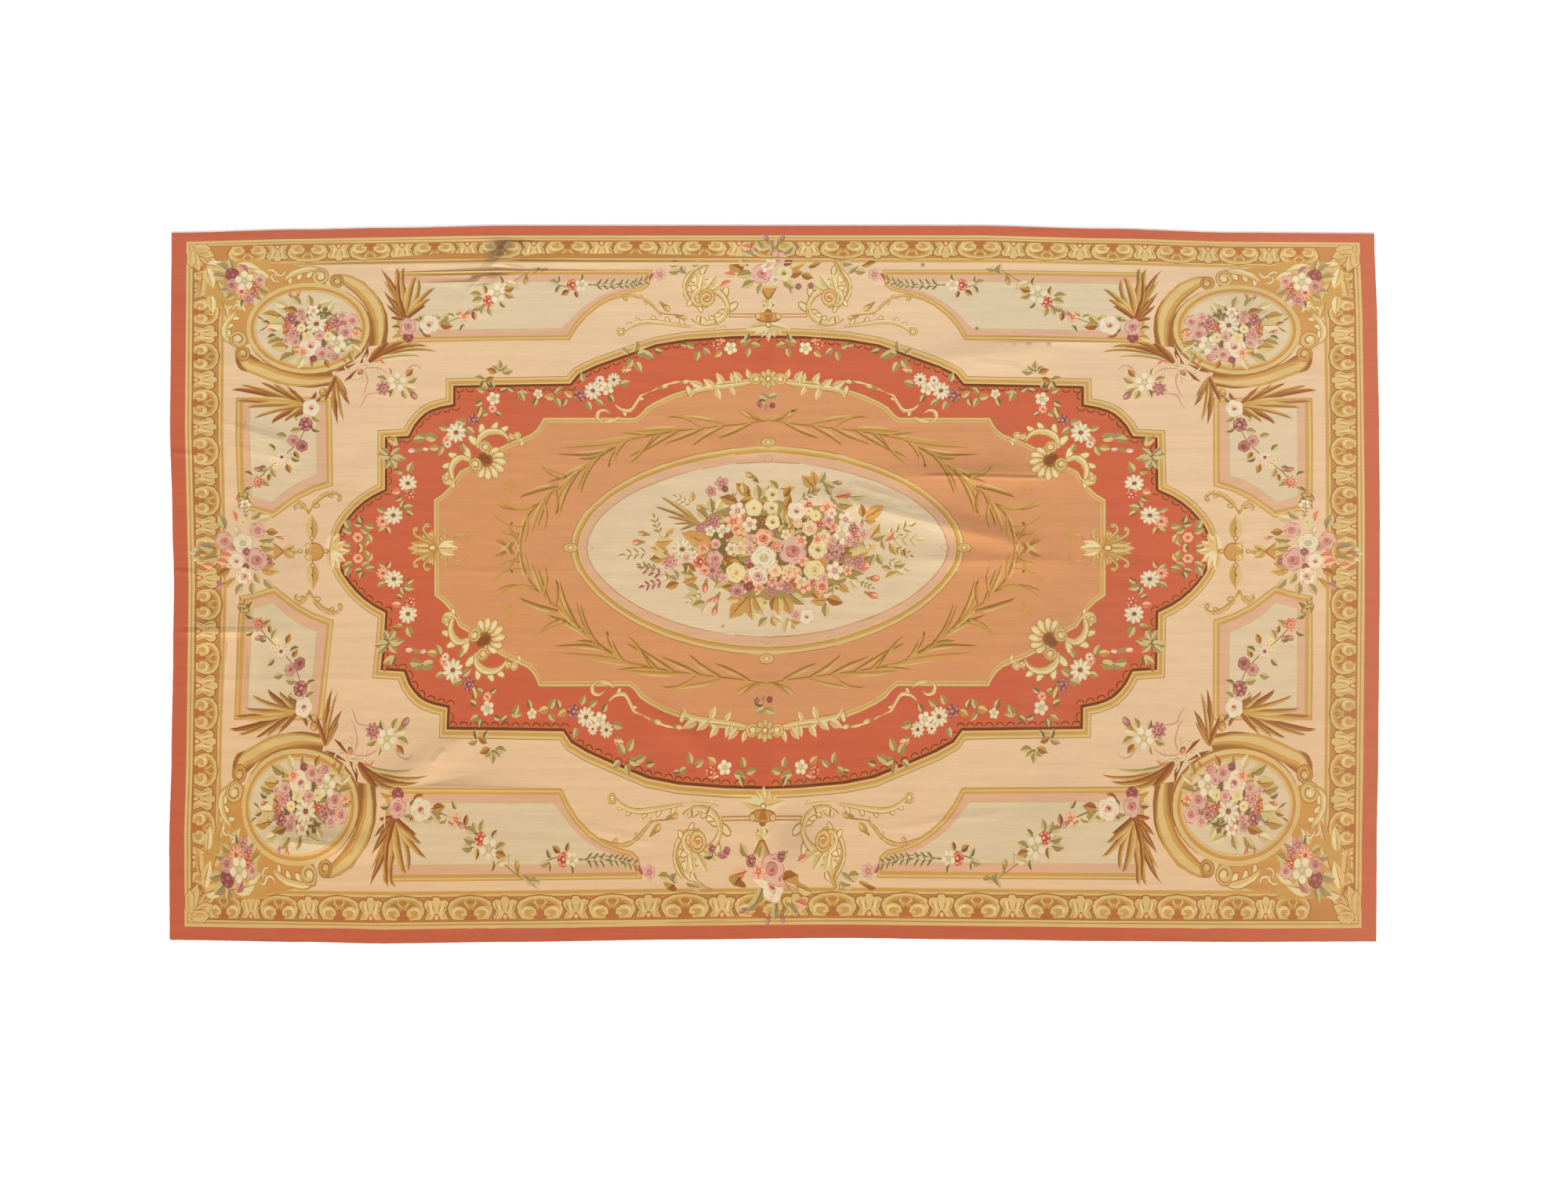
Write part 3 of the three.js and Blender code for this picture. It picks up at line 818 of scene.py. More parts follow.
def drawFronds():
    pen = Pen(every)
    # the end of each long panel
    frond(pen, 519, 408, [(508, 341, 507, 372, 8, "straw"), (517, 341, 508, 356, 6, "straw"),
        (514, 352, 514, 380, 9, "gold"), (533, 352, 518, 372, 7, "gold"), (536, 356, 538, 372, 5, "straw"),
        (557, 367, 532, 381, 5, "gold"), (551, 381, 534, 388, 4.6, "gold"),
        (545, 390, 530, 394, 4.4, "bark"), (487, 343, 505, 366, 5.6, "bark"),
        (489, 356, 504, 374, 3.4, "straw"), (491, 372, 503, 386, 5, "bark"),
        (494, 389, 505, 396, 4.6, "bark"), (500, 406, 508, 404, 4, "bark"),
        (511, 346, 503, 380, 4.6, "bark")])
    # towards the middle, and down, from the knot
    frond(pen, 472, 462, [(548, 442, 502, 434, 5.4, "straw"), (559, 449, 512, 437, 4, "gold"),
        (539, 455, 506, 447, 3.4, "pale"), (519, 437, 490, 436, 5, "straw"),
        (531, 442, 500, 440, 3.4, "bark"), (498, 437, 482, 444, 5.6, "bark")])
    frond(pen, 430, 480, [(432, 541, 424, 508, 5.4, "bark"), (441, 539, 430, 514, 4, "straw"),
        (449, 518, 438, 504, 4.6, "bark"), (416, 512, 420, 496, 4.2, "bark"),
        (446, 506, 440, 495, 3.4, "straw")])
    # the end of each short panel
    frond(pen, 392, 517, [(296, 497, 330, 494, 5.6, "bark"), (308, 491, 336, 492, 4, "straw"),
        (334, 488, 356, 494, 4.6, "bark"), (350, 489, 368, 498, 4, "straw"),
        (302, 511, 340, 506, 7, "gold"), (316, 520, 345, 511, 5, "gold"), (347, 541, 360, 525, 5, "bark"),
        (364, 538, 372, 528, 4.4, "straw"), (325, 534, 352, 519, 4, "gold"),
        (378, 537, 384, 528, 3.6, "bark"), (405, 500, 402, 507, 4, "bark"),
        (366, 492, 378, 500, 3.6, "bark")])
    # the knot that ties ring, ribbons and fronds
    knot = [((470, 441), (468, 452), (459, 465), 5.6, "brown"),
        ((455, 463), (440, 470), (428, 474), 4.4, "brown"),
        ((476, 462), (486, 459), (492, 464), 3.4, "coral"),
        ((458, 470), (448, 480), (440, 486), 4, "brown")]
    for start, bend, end, width, dye in knot:
        pen.line(dye, [start, bend, end], 0.8, width, 0.6)
    for curlX, curlY, turn, size in ((466, 470, 20, 9), (476, 474, 60, 8), (455, 478, 150, 8),
            (446, 468, 220, 7), (484, 468, 330, 7), (462, 482, 110, 6), (470, 458, 280, 7)):
        curl = pen.at(curlX, curlY, turn)
        curl.fill("goldShade", stroke(arc(0, 0, size, size * 0.62, 150, 350, 8), (0.5, 3.8, 3.4, 0.4)))
        curl.fill("cream", stroke(arc(0, 0, size, size * 0.62, 160, 340, 8), (0.4, 2.5, 2.2, 0.3)))
    pen.fill("brown", oval(461, 474, 3.4, 4.6, 30, 8))
    pen.fill("ochre", oval(461, 473.4, 2.4, 3.4, 30, 8))
    pen.fill("strawDark", oval(413, 500, 5.4, 6.2, 0, 9))
    pen.fill("ochre", oval(412.6, 499, 4.4, 5, 0, 9))
    pen.fill("goldPale", oval(411.8, 497.6, 2, 2.2, 0, 7))


panelRows = """
leaf 512 418 12 leaf 185, leaf 514 428 14 straw 165, leaf 530 408 13 leaf -20, leaf 536 416 11 grey 50,
leaf 540 424 13 bark 25, leaf 536 404 12 leaf 10, cluster 522 430 7.5 plum, rose 521.5 416 11 pink,
leaf 552 403 14 leaf 10, open 549 414 13 blush, leaf 564 412 17 leaf -50, leaf 563 415 17 bark 6,
leaf 582 404 11 pale 190, leaf 584 402 12 leaf -30, leaf 594 414 11 leaf 120, bloom 594 404 8 coral,
bud 600 399 6 pink -30, leaf 606 398 12 bark 80, leaf 606 396 14 leaf -20, leaf 625 392 13 leaf 70,
leaf 620 390 13 grey 110, leaf 616 377 15 leaf 185, leaf 618 382 15 leaf 165, leaf 622 376 12 straw 260,
cluster 626 385 8 coral, bloom 637 376 12 white, leaf 644 364 11 leaf -110, leaf 646 372 14 bark -15,
leaf 646 376 14 leaf 20, leaf 640 386 11 leaf 45, leaf 648 362 14 pale 10, bud 674 358 6.5 straw 100,
leaf 684 350 15 grey -60, leaf 690 346 13 grey -10, leaf 716 362 13 grey 190, leaf 718 366 11 grey 120,
leaf 716 362 9 leaf -90, cluster 734 365 8 coral, leaf 730 372 12 bark 150, leaf 738 372 10 bark 70,
bloom 746 365 8.5 white, leaf 745 360 10 grey -80, twig 756 366 34 leaf -4, twig 786 366 30 grey -6,
twig 806 365 28 grey -14, leaf 840 350 12 pink 120, bloom 848 352 8.5 pink, leaf 860 349 15 leaf -10,
leaf 868 340 15 bark 195, leaf 872 342 14 grey 40, leaf 884 339 14 grey -10"""

shortPanelRows = """
leaf 398 530 14 leaf 30, leaf 386 528 12 leaf 150, leaf 402 512 12 leaf -40, open 398 520 11.5 blush,
leaf 398 546 12 leaf 20, leaf 384 548 14 leaf 170, cluster 391 541 10 mauve, leaf 380 562 12 bark 30,
leaf 366 556 13 leaf 190, rose 375 562 8 mauve, rose 386 569 8 plum, leaf 376 576 12 bark 60,
leaf 352 574 12 leaf 220, leaf 366 592 13 bark 70, leaf 372 584 12 leaf 20, daisy 360 583 10 blush,
daisy 349 587 4.6 yellow, daisy 352 595 4.2 yellow, leaf 346 598 13 leaf 60, leaf 340 596 12 leaf 170,
leaf 344 604 10 bark 100, bud 331 599 7 mauve 190, leaf 334 612 13 leaf 40, carnation 328 614 9 coral,
leaf 322 606 12 leaf 200, leaf 320 622 12 leaf 150, twig 318 622 24 leaf 120, leaf 314 632 12 straw 60,
bud 303 634 5 mauve 110"""

fieldRows = """
leaf 522 488 14 leaf -30, leaf 494 484 13 leaf 195, leaf 503 496 12 leaf 110, leaf 514 498 13 leaf 60,
leaf 500 478 10 pale 250, leaf 520 480 13 bark -50, leaf 518 494 16 pale 12, bud 528 503 8 mauve 50,
carnation 490 495 10 mauve, bloom 508 487 12 white, sprig 640 474 15 leaf -90, leaf 636 476 14 bark 200,
leaf 644 476 14 leaf -10, leaf 632 482 13 bark 150, leaf 620 484 13 leaf 190, leaf 620 486 12 leaf 110,
leaf 628 486 11 grey 60"""


def drawGarlands():
    pen = Pen(every)
    # trailing ribbons in the field
    for path in ([(500, 478), (486, 470), (470, 469), (458, 474)], [(492, 500), (470, 503), (464, 514),
            (458, 522)], [(466, 470), (470, 484), (466, 500), (458, 510)], [(516, 478), (524, 468),
            (534, 466), (541, 474)]):
        pen.line("mauvePale", path, 0.5, 2.2, 1.6, 0.4)
    # the stems under the flowers
    for path in ([(540, 414), (575, 410), (604, 398), (628, 384), (650, 366), (668, 354), (690, 342)],
            [(706, 362), (730, 368), (752, 364), (790, 368), (826, 362)], [(398, 524), (384, 560),
            (362, 582), (340, 600), (322, 620), (304, 636)]):
        pen.line("leafDark", path, 0.8, 1.2, 1.2, 0.5)
    pen.line("leaf", [(662, 360), (664, 370), (658, 366)], 0.7, 0.7, 0.3)
    plant(pen, panelRows)
    plant(pen, shortPanelRows)
    plant(pen, fieldRows)


ringRows = """
leaf 622 500 13 leaf 200, leaf 640 500 11 leaf -20, leaf 626 498 11 grey 250, leaf 618 512 12 leaf 150,
leaf 616 518 12 straw 110, bloom 632 509 9 white, daisy 631 522 6 coral, leaf 626 526 13 leaf 160,
leaf 634 526 10 grey 30, leaf 612 536 12 straw -60, cluster 606 536 8 mauve, leaf 598 540 15 leaf 195,
leaf 596 546 14 grey 30, leaf 574 548 13 leaf 195, leaf 590 566 13 leaf 60, leaf 566 568 15 leaf 110,
leaf 562 570 14 straw 170, leaf 560 560 20 leaf 195, leaf 546 558 15 grey 190, daisy 572 562 7 coral,
daisy 584 552 13.5 white, daisy 573 567 5.5 blush, bud 529 575 7 blush 180, bud 542 573 6 blush 10,
leaf 528 562 16 leaf -10, leaf 512 566 18 straw 200, leaf 510 568 12 leaf 250, sprig 500 583 20 leaf 10,
sprig 498 586 17 grey 60, leaf 500 582 19 leaf 185, leaf 498 580 15 grey 215, leaf 516 604 15 grey 200,
leaf 522 604 16 leaf -70, leaf 514 600 14 bark 170, daisy 521 618 12.5 white, cluster 524 632 7.5 coral,
leaf 512 628 13 coral 170, leaf 514 636 11 leaf 150, leaf 512 652 12 leaf -70, leaf 514 652 15 leaf -15,
leaf 518 656 12 straw 30, leaf 492 656 13 leaf 200, leaf 490 670 15 leaf 120, leaf 492 676 12 straw 60,
leaf 478 676 14 leaf 185, daisy 488 669 9.5 coral, daisy 502 661 13 white, leaf 472 684 14 leaf 200,
leaf 470 688 15 leaf 110, leaf 468 686 13 straw 60, leaf 462 672 12 leaf 250, leaf 462 674 12 grey 190,
rose 456 690 7 coral, leaf 450 684 15 leaf 200, leaf 446 678 15 grey 240, leaf 448 700 13 leaf 190,
leaf 456 698 12 straw 60, leaf 662 504 16 leaf -8, leaf 666 502 13 leaf 60, leaf 660 500 11 grey 210,
bloom 690 503 6.5 white, leaf 688 508 12 leaf 110, leaf 712 508 15 straw 190, leaf 712 508 14 leaf 60,
leaf 712 504 13 leaf -50, leaf 726 508 12 leaf 110, leaf 736 506 14 straw 205, leaf 750 488 13 grey 250,
leaf 752 512 14 leaf 60, leaf 764 511 13 leaf 30, leaf 782 504 12 leaf 60, leaf 796 492 15 leaf -20,
cluster 744 505 9 mauve, daisy 761 499 12 white, bloom 779 496 9 white, daisy 788 485 9.5 white,
daisy 770 486 7 blush, leaf 800 478 14 leaf -60, leaf 812 470 14 coral 170, leaf 816 462 16 leaf 60,
leaf 812 458 16 leaf 120, leaf 818 454 16 grey -20, leaf 826 452 16 leaf 20, leaf 816 450 15 leaf -80,
leaf 808 452 13 grey 210, leaf 840 448 12 grey 10, leaf 893 444 13 leaf 200, leaf 897 448 14 leaf 100,
leaf 902 446 13 grey 30, leaf 884 441 10 leaf 185, cluster 922 440 7.5 coral, leaf 928 448 13 straw 140,
leaf 934 436 10 coral 200, bloom 939 445 8.5 white, leaf 950 440 16 leaf -20, leaf 962 444 13 leaf 100,
leaf 964 440 14 leaf 10, leaf 958 436 12 grey -70"""


def drawShell(pen):
    # a ribbed shell between two leafy arms, in the corner of the inner field
    pen.fill("strawDark", oval(622, 588, 8.4, 12, -48, 12))
    for turn, reach in ((-62, 17), (-38, 21), (-14, 24), (10, 26), (34, 27), (58, 27), (82, 26), (106, 24),
            (130, 20)):
        lobe = pen.at(621, 586, turn)
        lobe.fill("goldShade", oval(reach * 0.72, 0, reach * 0.4, 5.8, 0, 9))
        lobe.fill("goldPale", oval(reach * 0.74, 0, reach * 0.35, 4.9, 0, 9))
        lobe.fill("cream", oval(reach * 0.8, -0.8, reach * 0.22, 2.6, 0, 7))
        lobe.fill("goldDeep", stroke([(reach * 0.4, 3.4), (reach * 0.8, 4.2)], (0.9, 0.3)))
    pen.fill("brown", oval(621, 586, 5.4, 9.4, -58, 11))
    scrollStem(pen, "scroll", [(612, 572), (614, 560), (624, 552), (638, 551), (648, 556), (654, 566)], 10,
        5, -1)
    scrollStem(pen, "scroll", [(604, 589), (592, 584), (582, 589), (577, 600), (579, 612), (584, 616)], 10,
        5, 1)
    scrollStem(pen, "scroll", [(672, 559), (667, 562), (660, 558), (652, 553)], 5, 2, -1)
    scrollStem(pen, "scroll", [(584, 612), (577, 618), (569, 617), (565, 610)], 6, 2, 1)
    volute(pen.at(621, 570), 8, "scroll", 200)
    volute(pen.at(608.5, 593), 8.6, "scroll", 80)
    volute(pen.at(663, 556), 5, "scroll", 30)
    volute(pen.at(570, 611), 5.4, "scroll", 240)


laurel = {"stem": 3.2, "blade": 1.54}

# each blade: where it starts, bends and ends, its width and its palette
laurelBlades = """
930 541 900 530 853 533 3.4 wheat, 900 545 880 528 858 532 2.6 gold, 985 537 962 535 946 522 3.6 wheat,
982 538 966 532 956 522 2.8 straw, 880 548 850 545 812 552 3.6 wheat, 860 551 830 556 796 552 3 gold,
905 546 880 556 852 568 3.6 gold, 930 544 900 556 890 570 3.4 gold, 965 541 940 552 922 560 3.6 gold,
870 551 840 566 824 578 3.4 gold, 850 553 826 574 806 584 3.2 gold, 840 556 822 582 808 592 2.6 gold,
830 557 796 560 746 569 3.8 wheat, 812 561 770 568 720 572 3.2 wheat, 800 565 776 584 783 596 3.2 gold,
806 562 786 578 790 590 2.6 gold, 790 571 770 582 712 580 3.6 straw, 780 577 760 586 742 586 3.2 straw,
770 584 740 604 700 618 4 straw, 766 587 748 604 745 632 3.6 gold, 758 592 742 610 740 634 2.6 gold,
750 598 728 612 708 634 3.6 wheat, 745 600 722 624 718 660 3.8 gold, 738 606 716 626 712 652 3 wheat,
724 612 700 606 690 588 2.8 gold, 730 608 700 600 684 588 2.2 wheat, 716 622 694 622 664 638 4 straw,
706 630 692 654 690 676 3.6 gold, 700 636 684 662 682 684 3.6 wheat, 696 640 704 660 698 680 3 gold,
712 626 718 650 712 660 2.8 straw, 690 645 660 658 634 646 3.2 gold, 684 650 656 660 630 632 2.6 wheat,
680 655 664 676 668 700 3.6 gold, 676 662 676 684 672 698 2.8 wheat, 668 676 646 674 628 656 3 wheat,
664 684 650 690 636 676 3 wheat, 660 690 654 684 652 674 2.8 straw, 655 696 650 706 633 716 4 gold,
660 692 664 704 668 714 3.6 gold"""


def drawLaurel():
    pen = Pen(every)
    for path in ([(992, 534), (965, 539), (910, 545), (860, 551), (810, 561), (782, 575), (758, 592),
            (724, 612)], [(758, 592), (724, 616), (700, 636), (680, 656), (667, 680), (652, 706),
            (640, 716)]):
        pen.line("goldShade", path, 3.6, laurel["stem"], 1.2)
        pen.line("gold", [(x - 0.5, y - 0.6) for x, y in path], 2.2, 1.4, 0.6)
    for row in laurelBlades.split(","):
        *places, width, palette = row.split()
        blade(pen, palette, *map(float, places), float(width) * laurel["blade"])
    for x, y in ((782, 594), (714, 656), (655, 672)):
        pen.fill("strawDark", oval(x, y, 1.8, 3.2, 20, 7))
    # faint flowers on the salmon ground
    for x, y, r in ((652, 622, 12), (596, 688, 9)):
        for turn in range(0, 360, 72):
            pen.at(x, y, turn).fill("ochre", oval(r * 0.55, 0, r * 0.42, r * 0.2, 0, 7))


def drawScrollwork():
    # the pale scroll along the top of the inner field, with its rosette in the middle
    pen = Pen(every)
    scrollStem(pen, "scroll", [(775, 540), (767, 534), (769, 526), (777, 524), (784, 529)], 5.4)
    scrollStem(pen, "scroll", [(796, 533), (786, 538), (775, 540)], 6)
    scrollStem(pen, "scroll", [(790, 517), (798, 523), (810, 524), (818, 514), (824, 505), (836, 500)], 5,
        2, 1)
    scrollStem(pen, "scroll", [(836, 500), (850, 494), (866, 489), (884, 487), (900, 488)], 3.4)
    bud(pen.at(852, 494, -20), 6.6, "scroll")
    bud(pen.at(879, 488, -8), 6, "scroll")
    scrollStem(pen, "scroll", [(886, 508), (892, 500), (906, 496), (930, 494), (960, 490), (972, 486)], 8,
        6, -1)
    for x, y, turn, length in ((904, 494, 200, 20), (918, 494, 215, 18), (930, 490, 235, 17),
            (944, 490, 250, 15), (920, 496, 70, 16), (938, 494, 60, 13), (954, 486, 225, 17),
            (964, 484, 250, 14)):
        leaf(pen.at(x, y, turn), length, length * 0.44, "scroll")
    volute(pen.at(971, 484), 8, "scroll", 180)
    centre = Pen(upDown)
    for turn in range(-90, 271, 45):
        petal = centre.at(987, 484, turn)
        petal.fill("goldShade", oval(7.4, 0, 5.6, 4, 0, 9))
        petal.fill("goldPale", oval(7.6, 0, 4.8, 3.2, 0, 9))
    centre.fill("goldDeep", oval(987, 484, 4.6, 4.6, 0, 9))
    centre.fill("cream", oval(987, 484, 2.6, 2.6, 0, 8))
    plant(centre, """
leaf 987 508 13 grey 200, leaf 987 508 14 grey -20, leaf 984 512 12 leaf 170, cluster 976
517 4.4 mauve, cluster 992 518 4.4 plum, bud 984 520 4 mauve 90""")
    # the palmette on its left and right ends
    for turn, length, dye in ((-100, 24, "gold"), (-122, 27, "straw"), (-146, 30, "gold"),
            (-168, 33, "straw"), (180, 36, "gold")):
        held = pen.at(556, 703.5, turn)
        leaf(held, length, length * 0.3, dye)
    for path, width in (([(556, 698), (548, 690), (541, 680), (546, 673), (552, 677)], 4.4), ([(556, 700),
            (542, 694), (530, 687), (529, 679), (535, 676)], 4.6)):
        scrollStem(pen, "gold", path, width, 2, 1)
    scrollStem(pen, "gold", [(559, 702), (568, 692), (570, 682), (565, 676)], 4.6, 2, -1)
    scrollStem(pen, "gold", [(574, 696), (584, 688), (596, 687), (601, 694)], 2.4)
    leaf(pen.at(562, 702, -20), 20, 9, "scroll")
    side = Pen(sides)
    leaf(side.at(558, 703.5, 0), 28, 11, "scroll")
    side.fill("goldDeep", oval(552, 703.5, 6.4, 5, 0, 9))
    side.fill("cream", oval(552, 703.5, 3.6, 2.8, 0, 8))


def drawUrns():
    # the urn on the middle line, above and below, and the long C scrolls beside it
    pen = Pen(upDown)
    scrollPen = Pen(every)
    for y in (402, 405.6):
        scrollPen.line("goldDeep", [(987, y), (955, y), (930, y - 0.6)], 1.5, 1.5, 1.2)
    for path, width, lobes, side in (([(910, 334), (897, 343), (885, 355), (880, 368), (884, 383),
            (896, 392), (910, 393)], 8, 5, -1), ([(935, 406), (935, 390), (926, 376), (910, 369),
            (896, 373), (890, 383), (897, 391), (909, 389)], 9, 6, 1), ([(934, 394), (930, 405), (918, 412),
            (902, 414), (888, 408)], 8, 5, 1)):
        scrollStem(scrollPen, "scroll", path, width, lobes, side)
    for x, y, turn, length in ((900, 372, -80, 22), (908, 370, -55, 24), (916, 372, -35, 20),
            (896, 364, -98, 18), (890, 356, -70, 18), (902, 404, 100, 12), (918, 406, 60, 12)):
        leaf(scrollPen.at(x, y, turn), length, length * 0.4, "scroll")
    scrollPen.line("straw", [(910, 334), (898, 342), (886, 355), (880.5, 368), (884, 380)], 1.4, 3, 1.2)
    volute(scrollPen.at(908, 381), 11, "scroll", 120)
    scrollPen.fill("coral", oval(908.6, 380.6, 3.6, 3, 0, 8))
    scrollPen.fill("ochre", oval(908.6, 380.2, 2.4, 2, 0, 7))
    # the tendril that leaves the panel, with its buds, and the plume under it
    scrollStem(scrollPen, "gold", [(782, 384), (800, 379), (818, 379), (832, 385), (842, 395), (852, 401),
        (874, 403)], 4.6, 3, 1)
    bud(scrollPen.at(855, 393, 40), 8, "gold")
    bud(scrollPen.at(876, 406, 10), 7, "gold")
    scrollStem(scrollPen, "scroll", [(888, 418), (860, 414), (832, 411), (812, 416), (800, 425),
        (794, 428)], 6, 7, 1)
    volute(scrollPen.at(797, 424), 6, "scroll", 200)
    scrollStem(scrollPen, "scroll", [(934, 416), (912, 419), (890, 420)], 3.4, 3, -1)
    # cone, bulb, knob and palmette
    pen.fill("strawDark", [(975, 367), (999, 367), (989, 384), (985, 384)])
    pen.fill("ochre", [(978, 369), (996, 369), (988, 381), (986, 381)])
    pen.fill("goldPale", stroke([(976, 367.5), (998, 367.5)], (2.6, 2.6)))
    for turn, length in ((65, 15), (115, 15), (40, 14), (140, 14), (90, 15)):
        leaf(pen.at(987, 383, turn), length, length * 0.5, "scroll")
    for x in (981, 993):
        pen.fill("strawDark", oval(x, 391, 1.2, 1.8, 0, 6))
    pen.fill("goldShade", oval(987, 398, 4.4, 2.6, 0, 8))
    pen.fill("strawDark", oval(987, 406, 17, 7, 0, 14))
    pen.fill("ochre", oval(987, 405.6, 15.6, 5.8, 0, 14))
    pen.fill("gold", oval(987, 404, 12, 2.8, 0, 12))
    for x in (974, 1000):
        pen.fill("goldShade", oval(x, 404.6, 4.4, 4.6, 0, 9))
        pen.fill("goldPale", oval(x, 404.4, 3.4, 3.6, 0, 9))
    pen.fill("ochreDeep", [(981, 402), (993, 402), (990, 411), (984, 411)])
    for turn, length in ((90, 22), (62, 19), (118, 19), (34, 22), (146, 22), (12, 30), (168, 30)):
        leaf(pen.at(987, 415, turn), length, length * 0.34, "scroll")
    pen.fill("goldShade", oval(987, 416, 4, 3.4, 0, 9))
    pen.fill("cream", oval(987, 415.6, 2.8, 2.2, 0, 8))


def drawSideUrns():
    pen = Pen(sides)
    arms = Pen(every)
    scrollStem(arms, "gold", [(392, 656), (398, 645), (408, 635), (420, 629), (430, 629), (435, 636),
        (431, 640)], 5.6, 3, 1)
    scrollStem(arms, "gold", [(392, 656), (388, 646), (380, 641), (374, 646), (376, 652)], 4.6, 2, -1)
    leaf(arms.at(397, 690, -90), 34, 15, "gold")
    arms.fill("leafDark", oval(396.6, 674, 1.4, 2, 0, 6))
    arms.fill("goldShade", oval(397, 687, 3.4, 3.2, 0, 8))
    arms.fill("goldPale", oval(397, 686.8, 2.4, 2.2, 0, 7))
    pen.fill("strawDark", [(345.5, 691), (345.5, 716), (361, 705), (361, 702.4)])
    pen.fill("ochre", [(347.4, 694), (347.4, 713), (358.6, 704.6), (358.6, 702.8)])
    pen.fill("goldPale", stroke([(346, 691.5), (346, 715.5)], (2.4, 2.4)))
    for turn, length in ((0, 22), (28, 18), (-28, 18)):
        leaf(pen.at(359, 703.6, turn), length, length * 0.5, "gold")
    pen.fill("leafDark", oval(368, 701, 1.6, 1.1, 0, 6))
    pen.fill("goldShade", oval(381.4, 703.6, 3.4, 3.2, 0, 8))
    pen.fill("goldPale", oval(381.4, 703.4, 2.4, 2.2, 0, 7))
    pen.fill("goldShade", oval(400, 704, 12.4, 12, 0, 14))
    pen.fill("ochre", oval(400, 704, 11, 10.8, 0, 14))
    pen.fill("gold", oval(399, 700, 8, 5, 0, 12))
    for y, turn in ((696.6, 200), (711.4, 20)):
        volute(pen.at(391.6, y), 5, "scroll", turn)
    pen.fill("goldShade", oval(414.4, 703.6, 3.4, 3.2, 0, 8))
    pen.fill("goldPale", oval(414.4, 703.4, 2.4, 2.2, 0, 7))
    for turn, length in ((0, 26), (-32, 25), (32, 25), (-60, 27), (60, 27), (-82, 24), (82, 24)):
        leaf(pen.at(419, 703.6, turn), length, length * 0.42, "scroll")


topBouquet = """
leaf 962 328 16 grey 200, leaf 986 322 15 grey 250, leaf 1000 326 16 grey -40, leaf 954 346 24 bark 200,
leaf 956 340 20 straw 215, leaf 966 350 20 leaf 170, leaf 968 360 18 leaf 150, leaf 978 364 14 grey 110,
leaf 944 352 14 coral 185, leaf 938 360 15 coral 150, leaf 1006 360 18 leaf 30, leaf 1012 352 20 bark -10,
leaf 1014 346 18 straw -30, leaf 1030 352 16 bark 15, leaf 1036 342 14 bark -20,
leaf 958 318 13 coral 190, leaf 972 318 13 leaf 230, bud 978 307 6 mauve -110, bud 998 307 6 mauve -80,
bud 962 320 5 pink 200, cluster 1026 367 5 mauve, cluster 1042 366 4.6 mauve, bud 1016 372 4.4 pink 60,
leaf 990 318 14 leaf -80, bloom 992 332 10.5 pink, open 1007 350 11.5 cream, rose 978 350 13.5 pink,
cluster 1006 336 6 plum, bloom 983 340 9 blush, rose 996 358 7 blush"""

bottomBouquet = """
leaf 968 366 16 leaf 120, leaf 1006 362 18 leaf 30, leaf 968 352 20 coral 190, leaf 960 346 20 bark 200,
leaf 974 336 20 leaf 230, leaf 1012 344 24 bark 10, leaf 1018 338 20 straw -20, leaf 990 322 16 grey 260,
leaf 966 324 16 grey 210, leaf 1006 322 16 grey -50, leaf 1016 324 16 coral -20,
leaf 944 366 13 mauve 160, leaf 928 368 12 grey 190, leaf 1034 362 13 coral 20,
bud 980 308 5.5 mauve -110, bud 998 309 5.5 mauve -70, bud 948 316 5 mauve 200, cluster 944 372 5 mauve,
cluster 926 374 5 mauve, leaf 984 366 13 leaf 70, bud 1009 338 6 pink -40, cluster 974 362 7 mauve,
open 986 336 14 blush, rose 1000 353 17 pink, cluster 1012 366 6 mauve, bloom 984 352 9 coral"""

sideBouquet = """
leaf 306 745 17 grey 120, leaf 318 744 16 leaf 80, leaf 334 740 17 grey 40, leaf 272 700 22 grey 190,
leaf 274 710 20 leaf 165, leaf 286 674 20 grey 245, leaf 276 690 18 straw 200, leaf 300 664 14 coral 250,
leaf 320 662 16 leaf -40, leaf 330 664 16 pale -20, leaf 338 678 16 bark 5, leaf 330 690 20 leaf -10,
leaf 330 697 20 leaf 8, leaf 336 706 14 straw 20, leaf 330 726 24 gold 8, leaf 330 722 20 ochreLeaf -8,
leaf 322 732 15 leaf 60, leaf 296 738 18 straw 130, leaf 290 726 18 bark 150, leaf 288 718 16 coral 190,
leaf 284 744 14 mauve 150, leaf 270 722 16 coral 185, bud 356 686 5 coral 10, bud 249 701 6 white 190,
bud 245 706 5.6 white 180, bud 249 713 6 white 165, bloom 312 644 7 white, twig 314 664 18 leaf -100,
daisy 309 666 6.5 yellow, leaf 292 708 16 coral 175, bud 302 679 8 white -110, rose 284 690 12 pink,
rose 327 676 10.5 pink, bloom 296 697 7 mauve, open 308 693 13.5 white, cluster 340 716 6 mauve,
rose 325 714 15 pink, open 299 716 10.5 blush, cluster 311 723 5 plum, rose 309 735 11 blush,
cluster 312 704 6 mauve"""
palettes["ochreLeaf"] = ("gold", "ochre", "strawDark")


